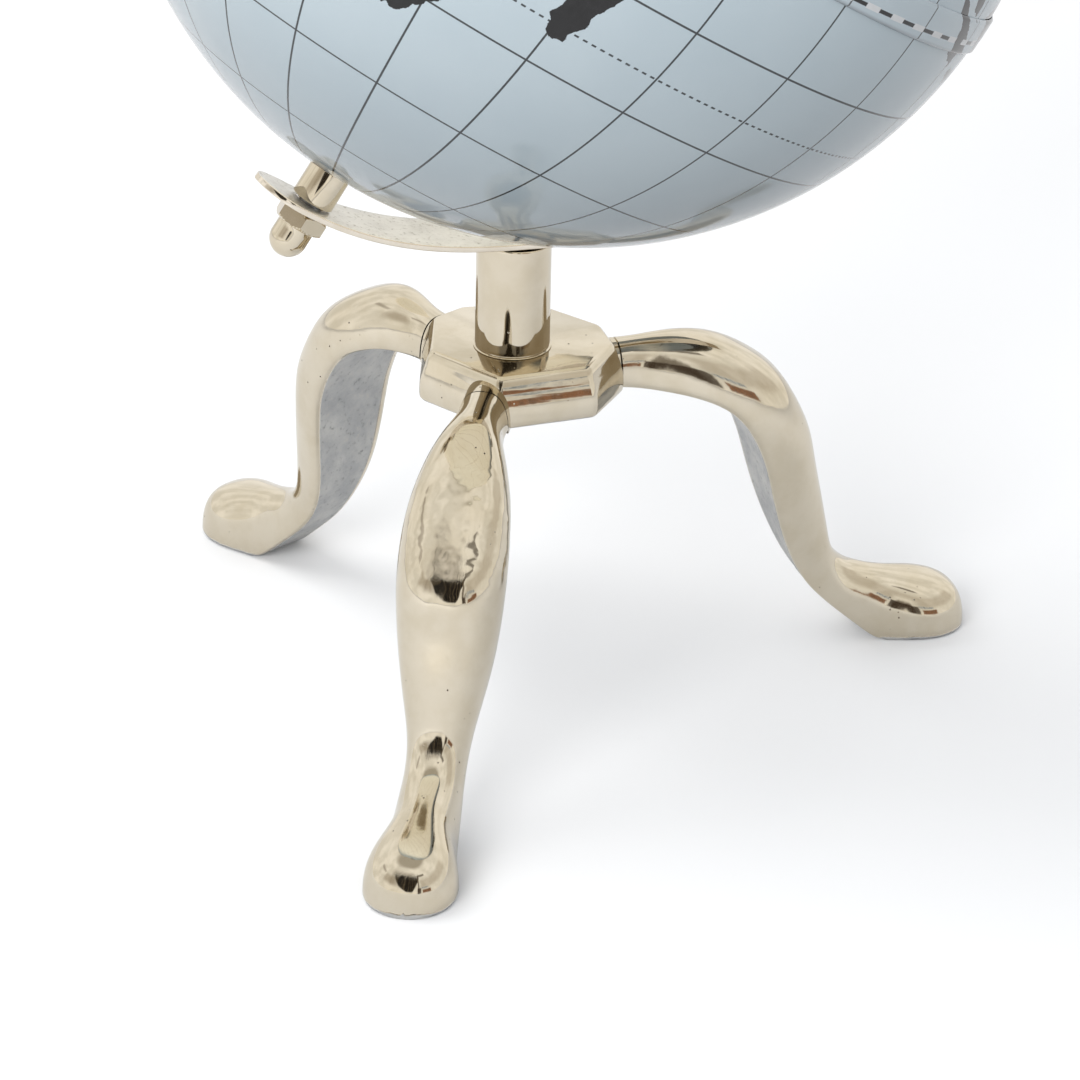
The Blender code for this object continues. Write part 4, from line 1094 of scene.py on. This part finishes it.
def acorn_nut(name, apothem, base, height, bore, turn, dome_r, tall):
    """A nut closed by a dome of radius dome_r, tall overall, with a blind bore."""
    steps, bore_end = NUT_STEPS, tall - 2.5
    verts = hex_verts(apothem, base, height, turn)
    neck, straight = height + 0.18, tall - dome_r
    rings = [(dome_r + 0.12, height), (dome_r + 0.03, height + 0.05), (dome_r, neck)]
    rings += [(dome_r, neck + (straight - neck) * share) for share in (0.33, 0.66, 1.0)]
    for i in range(1, 24):
        angle = math.pi / 2 * i / 24
        rings.append((dome_r * math.cos(angle), straight + dome_r * math.sin(angle)))
    for radius, z in rings:
        verts += circle(radius, base + z, steps, turn)
    tip = len(verts)
    verts.append((0, 0, base + tall))
    inside = len(verts)
    for z in (0.0, bore_end):
        verts += circle(bore, base + z, steps, turn)
    end = len(verts)
    verts.append((0, 0, base + bore_end))
    faces = ring_faces(steps, tip // steps)
    faces += [(tip - steps + i, tip - steps + (i + 1) % steps, tip) for i in range(steps)]
    for i in range(steps):
        j = (i + 1) % steps
        low, high = inside, inside + steps
        faces.append((i, j, low + j, low + i))
        faces.append((low + i, low + j, high + j, high + i))
        faces.append((high + i, high + j, end))
    return mesh_of(name, verts, faces, 28)


# ---- pieces along the axle --------------------------------------------------
BUSH_BORE_R, BUSH_R, BUSH_FLANGE_R = 2.1, 4.7, 8.0
LIP = GLOBE_R + 0.1   # outer face of the bushes, from the globe's centre


def bush():
    """Pole bush with a flange inside the shell."""
    profile = [
        (BUSH_R, LIP), (BUSH_R, 72.6), (BUSH_FLANGE_R, 72.6), (BUSH_FLANGE_R, 71.6),
        (BUSH_R + 1, 71.6), (BUSH_R, 72.3), (BUSH_BORE_R, 72.9), (BUSH_BORE_R, LIP),
    ]
    return lathe("bush", profile, 96, radius=0.25)


def arc(radius, start, end, count):
    """count + 1 points (r, z) of an arc about the centre, angles in radians."""
    angles = [start + (end - start) * i / count for i in range(count + 1)]
    return [(radius * math.cos(a), radius * math.sin(a)) for a in angles]


def shell(side, place, steps=448, rows=112):
    """Hemisphere: fine outer skin, coarser inner skin."""
    edge = math.asin(GAP / 2 / GLOBE_R)
    profile = arc(GLOBE_R, math.acos(POLE_HOLE_R / GLOBE_R), edge, rows)
    # the moulded edge turns in slightly at the pole
    profile[0] = (profile[0][0] - 0.05, profile[0][1] - 0.12)
    inner_r = GLOBE_R - SHELL
    profile += arc(inner_r, edge, math.acos(POLE_HOLE_R / inner_r), 20)
    mesh = lathe(side, profile, steps, sharp=50)
    mesh.transform(place)
    add_land(mesh, (rows + 1) * steps)
    add_piece(side + "_printed_shell", mesh, "printed_globe", side + "_hemisphere")


def pole(side, theta, flip):
    """Spacer, acorn nut, bush and hemisphere at one end of the axle."""
    outward = TO_AXIS @ Matrix.Rotation(flip, 4, "Y")
    spin = TO_AXIS @ Matrix.Rotation(flip, 4, "X")
    face = arm_radius(theta)
    top, foot, bore = face - GAP - 0.2, LIP + GAP, AXLE_R + GAP
    profile = [(SPACER_R, top), (SPACER_R, foot), (bore, foot), (bore, top)]
    spacer = lathe("spacer", profile, 128, radius=0.28, rounds=4)
    add_piece(side + "_spacer_tube", spacer, "turned_nickel", side + "_spacer", outward)
    nut = acorn_nut("cap", apothem=3.9, base=face + ARM_T + GAP + 0.1, height=2.8, bore=bore,
                    turn=math.radians(45), dome_r=3.15, tall=8.5)
    add_piece(side + "_acorn_nut", nut, "turned_nickel", side + "_cap_nut", outward)
    add_piece(side + "_pole_bush", bush(), "white_nylon", side + "_bush", spin)
    shell(side, spin)


pole("south", SOUTH, math.pi)
pole("north", NORTH, 0.0)


def tape(steps=448, half_angle=2.4):
    """Printed tape over the seam, thinner at its edges."""
    profile, edge = [], []
    for i in range(17):
        angle = math.radians(half_angle - 2 * half_angle * i / 16)
        aside = abs(2 * i / 16 - 1)
        radius = GLOBE_R + 0.22 + 0.30 * min(1.0, (1 - aside) * 8) ** 0.5
        profile.append((radius * math.cos(angle), radius * math.sin(angle)))
        edge.append(aside)
    half = math.radians(half_angle)
    profile += arc(GLOBE_R + 0.12, -half, half, 4)
    edge += [1.0] * 5
    mesh = lathe("tape", profile, steps, sharp=60)
    mesh.transform(TO_AXIS)
    add_land(mesh)
    float_attribute(mesh, "edge", np.repeat(edge, steps))
    add_piece("seam_tape", mesh, "printed_tape", "equator_band")


tape()

# ---- nut and washer under the hub -------------------------------------------
under = HUB_TOP - HUB_FLOOR
nut = hex_nut("nut", apothem=3.98, base=under - 5.6, height=4.0, bore=STUD_BORE_R)
add_piece("hub_hex_nut", nut, "zinc_steel", "hub_nut", TO_POST)
WASHER_R, WASHER_T = 6.0, 1.0
top = under - GAP
profile = [(WASHER_R, top), (WASHER_R, top - WASHER_T),
           (STUD_BORE_R, top - WASHER_T), (STUD_BORE_R, top)]
washer = lathe("washer", profile, 96, radius=0.18)
add_piece("hub_flat_washer", washer, "zinc_steel", "hub_washer", TO_POST)

# ---- CAD pieces that stay ---------------------------------------------------
KEPT = {
    "zinc_steel": ("axle_rod", "arm_screw", "post_stud", "leg_stud_front", "leg_stud_right",
                   "leg_stud_left"),
    "white_nylon": ("joint_ring",),
}
for slot, names in KEPT.items():
    for name in names:
        materials = frame["nodes"][name].data.materials
        materials.clear()
        materials.append(SKINS[slot][0])
for node in frame["nodes"].values():
    if not node.hide_render:
        smooth(node.data, 35)

# ---- floor ------------------------------------------------------------------
scene = bpy.context.scene


def paper():
    """White paper, darker to bounced light and in mirrors."""
    mat = Shader("floor_paper")
    cloud = mat.step(mat.noise(3.0, detail=2.0), 0.3, 0.7)
    white = mat.mix(cloud, (0.92, 0.925, 0.935), (0.94, 0.945, 0.955))
    glossy = mat.node("LightPath").outputs["Is Glossy Ray"]
    bounce = mat.node("LightPath").outputs["Is Diffuse Ray"]
    mirrored = mat.mix(glossy, white, (0.78, 0.78, 0.785))
    mat.set(Base_Color=mat.mix(bounce, mirrored, (0.20, 0.20, 0.205)), Roughness=0.75,
            Normal=mat.bump(mat.noise(700.0), 0.00001), Specular_IOR_Level=0.15)
    return mat.block


floor_mesh = bpy.data.meshes.new("floor")
corners = [(-6, -6, 0), (6, -6, 0), (6, 6, 0), (-6, 6, 0)]
floor_mesh.from_pydata(corners, [], [(0, 1, 2, 3)])
floor = link(bpy.data.objects.new("floor", floor_mesh))
floor.location.z = -0.00002
floor_mesh.materials.append(paper())


# ---- lights -----------------------------------------------------------------
def softbox(name, location, target, size, power, colour):
    light = bpy.data.lights.new(name, "AREA")
    light.shape, light.size, light.size_y = "RECTANGLE", size[0], size[1]
    light.energy, light.color = power, colour
    obj = link(bpy.data.objects.new(name, light))
    obj.location = location
    aim = Vector(target) - Vector(location)
    obj.rotation_euler = aim.to_track_quat("-Z", "Y").to_euler()
    obj.visible_glossy = False   # the surroundings hold what the metal mirrors


softbox("key", location=(-0.75, 0.55, 1.45), target=(0, 0, 0.06), size=(1.2, 1.0),
        power=10.0, colour=(1.0, 0.99, 0.97))
softbox("fill", location=(-1.05, -1.05, 0.9), target=(0, 0, 0.14), size=(0.9, 0.7),
        power=14.0, colour=(1.0, 0.995, 0.985))


# ---- surroundings -----------------------------------------------------------
def surroundings():
    """White to the camera, soft grey to diffuse rays, and a light tent to mirrors."""
    sky = Shader("studio", world=True)
    sky.tree.nodes.clear()
    generated = sky.node("TexCoord").outputs["Generated"]
    x, y, z = sky.node("SeparateXYZ", {0: generated}).outputs
    elevation = sky.mul(sky.math("ARCSINE", z), DEG)
    azimuth = sky.mul(sky.math("ARCTAN2", y, x), DEG)
    bars = sky.node("TexNoise", {"W": azimuth, "Scale": 0.8, "Detail": 2.0},
                    noise_dimensions="1D").outputs["Fac"]

    def window(az0, az1, el0, el1, soft):
        """1 inside a patch given in degrees, azimuth from -180 to 180."""
        across = sky.mul(sky.step(azimuth, az0 - soft, az0 + soft),
                         sky.step(azimuth, az1 + soft, az1 - soft))
        up = sky.mul(sky.step(elevation, el0 - soft, el0 + soft),
                     sky.step(elevation, el1 + soft, el1 - soft))
        return sky.mul(across, up)

    def painted(seen, patches):
        """seen under patches of (azimuths, elevations, softness, strength, colour)."""
        for *area, strength, colour in patches:
            seen = sky.mix(sky.mul(window(*area), strength), seen, colour)
        return seen

    def barred(low, high, first, second):
        """Two colours in upright bars."""
        return sky.mix(sky.step(bars, low, high), first, second)

    # cloth walls, dimmer overhead
    cloth = sky.step(sky.noise(3.0, vector=generated), 0.35, 0.65)
    tent = sky.mix(cloth, (1.12, 1.10, 1.06), (0.90, 0.88, 0.83))
    tent = sky.mix(sky.step(elevation, 66, 76), tent, (0.50, 0.47, 0.41))
    haze = barred(0.40, 0.60, (0.16, 0.13, 0.10), (0.74, 0.71, 0.66))
    seen = painted(tent, (
        (-158, -104, 14, 56, 6.0, 0.62, haze),
        (-88, 0, 13, 34, 5.0, 0.45, (0.36, 0.30, 0.21)),
        (-178, -142, 16, 38, 6.0, 0.55, (0.34, 0.28, 0.19)),
    ))
    # the dark room through the open front: a wedge about azimuth -118 with a ragged top
    room = barred(0.54, 0.64, (0.010, 0.008, 0.006), (0.24, 0.19, 0.13))
    ragged = sky.math("ADD", elevation, sky.mul(bars, 44.0))
    aside = sky.math("ABSOLUTE", sky.math("ADD", azimuth, 118.0))
    wedge = sky.step(sky.math("SUBTRACT", aside, sky.mul(elevation, 0.6)), 5.5, 3.5)
    opening = sky.mul(wedge, sky.step(ragged, 71.5, 65.5))
    dark = sky.mul(window(-156, -90, 4.5, 86, 1.2), opening)
    seen = sky.mix(sky.mul(dark, 0.97), seen, room)
    gaps = sky.math("SUBTRACT", 0.93, sky.mul(sky.step(bars, 0.50, 0.58), 0.7))
    column = sky.mul(window(-129, -97, 4.5, 35, 3.0), sky.mul(wedge, gaps))
    seen = sky.mix(column, seen, (0.012, 0.010, 0.008))
    # dark seams, low warm furniture and panes
    wood = barred(0.42, 0.56, (0.34, 0.125, 0.04), (0.12, 0.06, 0.03))
    panes = barred(0.47, 0.50, (0.80, 0.84, 0.88), (0.12, 0.18, 0.25))
    seen = painted(seen, (
        (-96.5, -91.5, 0, 46, 1.0, 0.85, (0.12, 0.09, 0.06)),
        (-95, -66, 44, 50, 1.5, 0.80, (0.12, 0.10, 0.08)),
        (-83, -58, 1.0, 8.5, 0.7, 0.92, wood),
        (-97, -87, 0.5, 13, 0.8, 0.9, (0.05, 0.032, 0.02)),
        (-86, -64, 11.0, 14.5, 0.7, 0.85, panes),
        (150, 178, 34, 40, 1.5, 0.5, (0.22, 0.18, 0.14)),
    ))
    # metal seen in metal looks out through the tent's open front
    path = sky.node("LightPath").outputs
    front = sky.mul(window(-150, -74, 1.0, 48, 7.0), 0.96)
    deep = sky.mix(front, (0.30, 0.245, 0.165), (0.010, 0.008, 0.006))
    seen = sky.mix(sky.mul(sky.step(path["Ray Depth"], 2.4, 2.6), 0.8), seen, deep)
    diffuse = sky.mix(sky.step(elevation, -5, 60), (0.86, 0.86, 0.86), (0.80, 0.81, 0.825))
    picked = sky.mix(path["Is Glossy Ray"], diffuse, seen)
    colour = sky.mix(path["Is Camera Ray"], picked, (1.0, 1.0, 1.0))
    background = sky.node("Background", {"Color": colour, "Strength": 1.0})
    sky.node("OutputWorld", {"Surface": background.outputs[0]})
    return sky.block


scene.world = surroundings()

# ---- camera: a long lens, about 27 degrees above the table ------------------
CAMERA_FROM_POST = Vector((-0.237295, -0.683593, 0.402235))
# its right, up and backward directions
CAMERA_AXES = (
    (0.945294383, -0.325688714, 0.018584699),
    (0.134609485, 0.441322743, 0.887194749),
    (-0.297151167, -0.836158536, 0.461020700),
)
lens = bpy.data.cameras.new("camera")
lens.lens, lens.sensor_width = 159.717, 36.0
lens.clip_start, lens.clip_end = 0.05, 20.0
camera = link(bpy.data.objects.new("camera", lens))
aim = Matrix(CAMERA_AXES).transposed().to_4x4()
camera.matrix_world = Matrix.Translation(CAMERA_FROM_POST + POST) @ aim
scene.camera = camera

scene.view_settings.view_transform = "Standard"
scene.view_settings.exposure = 0.0
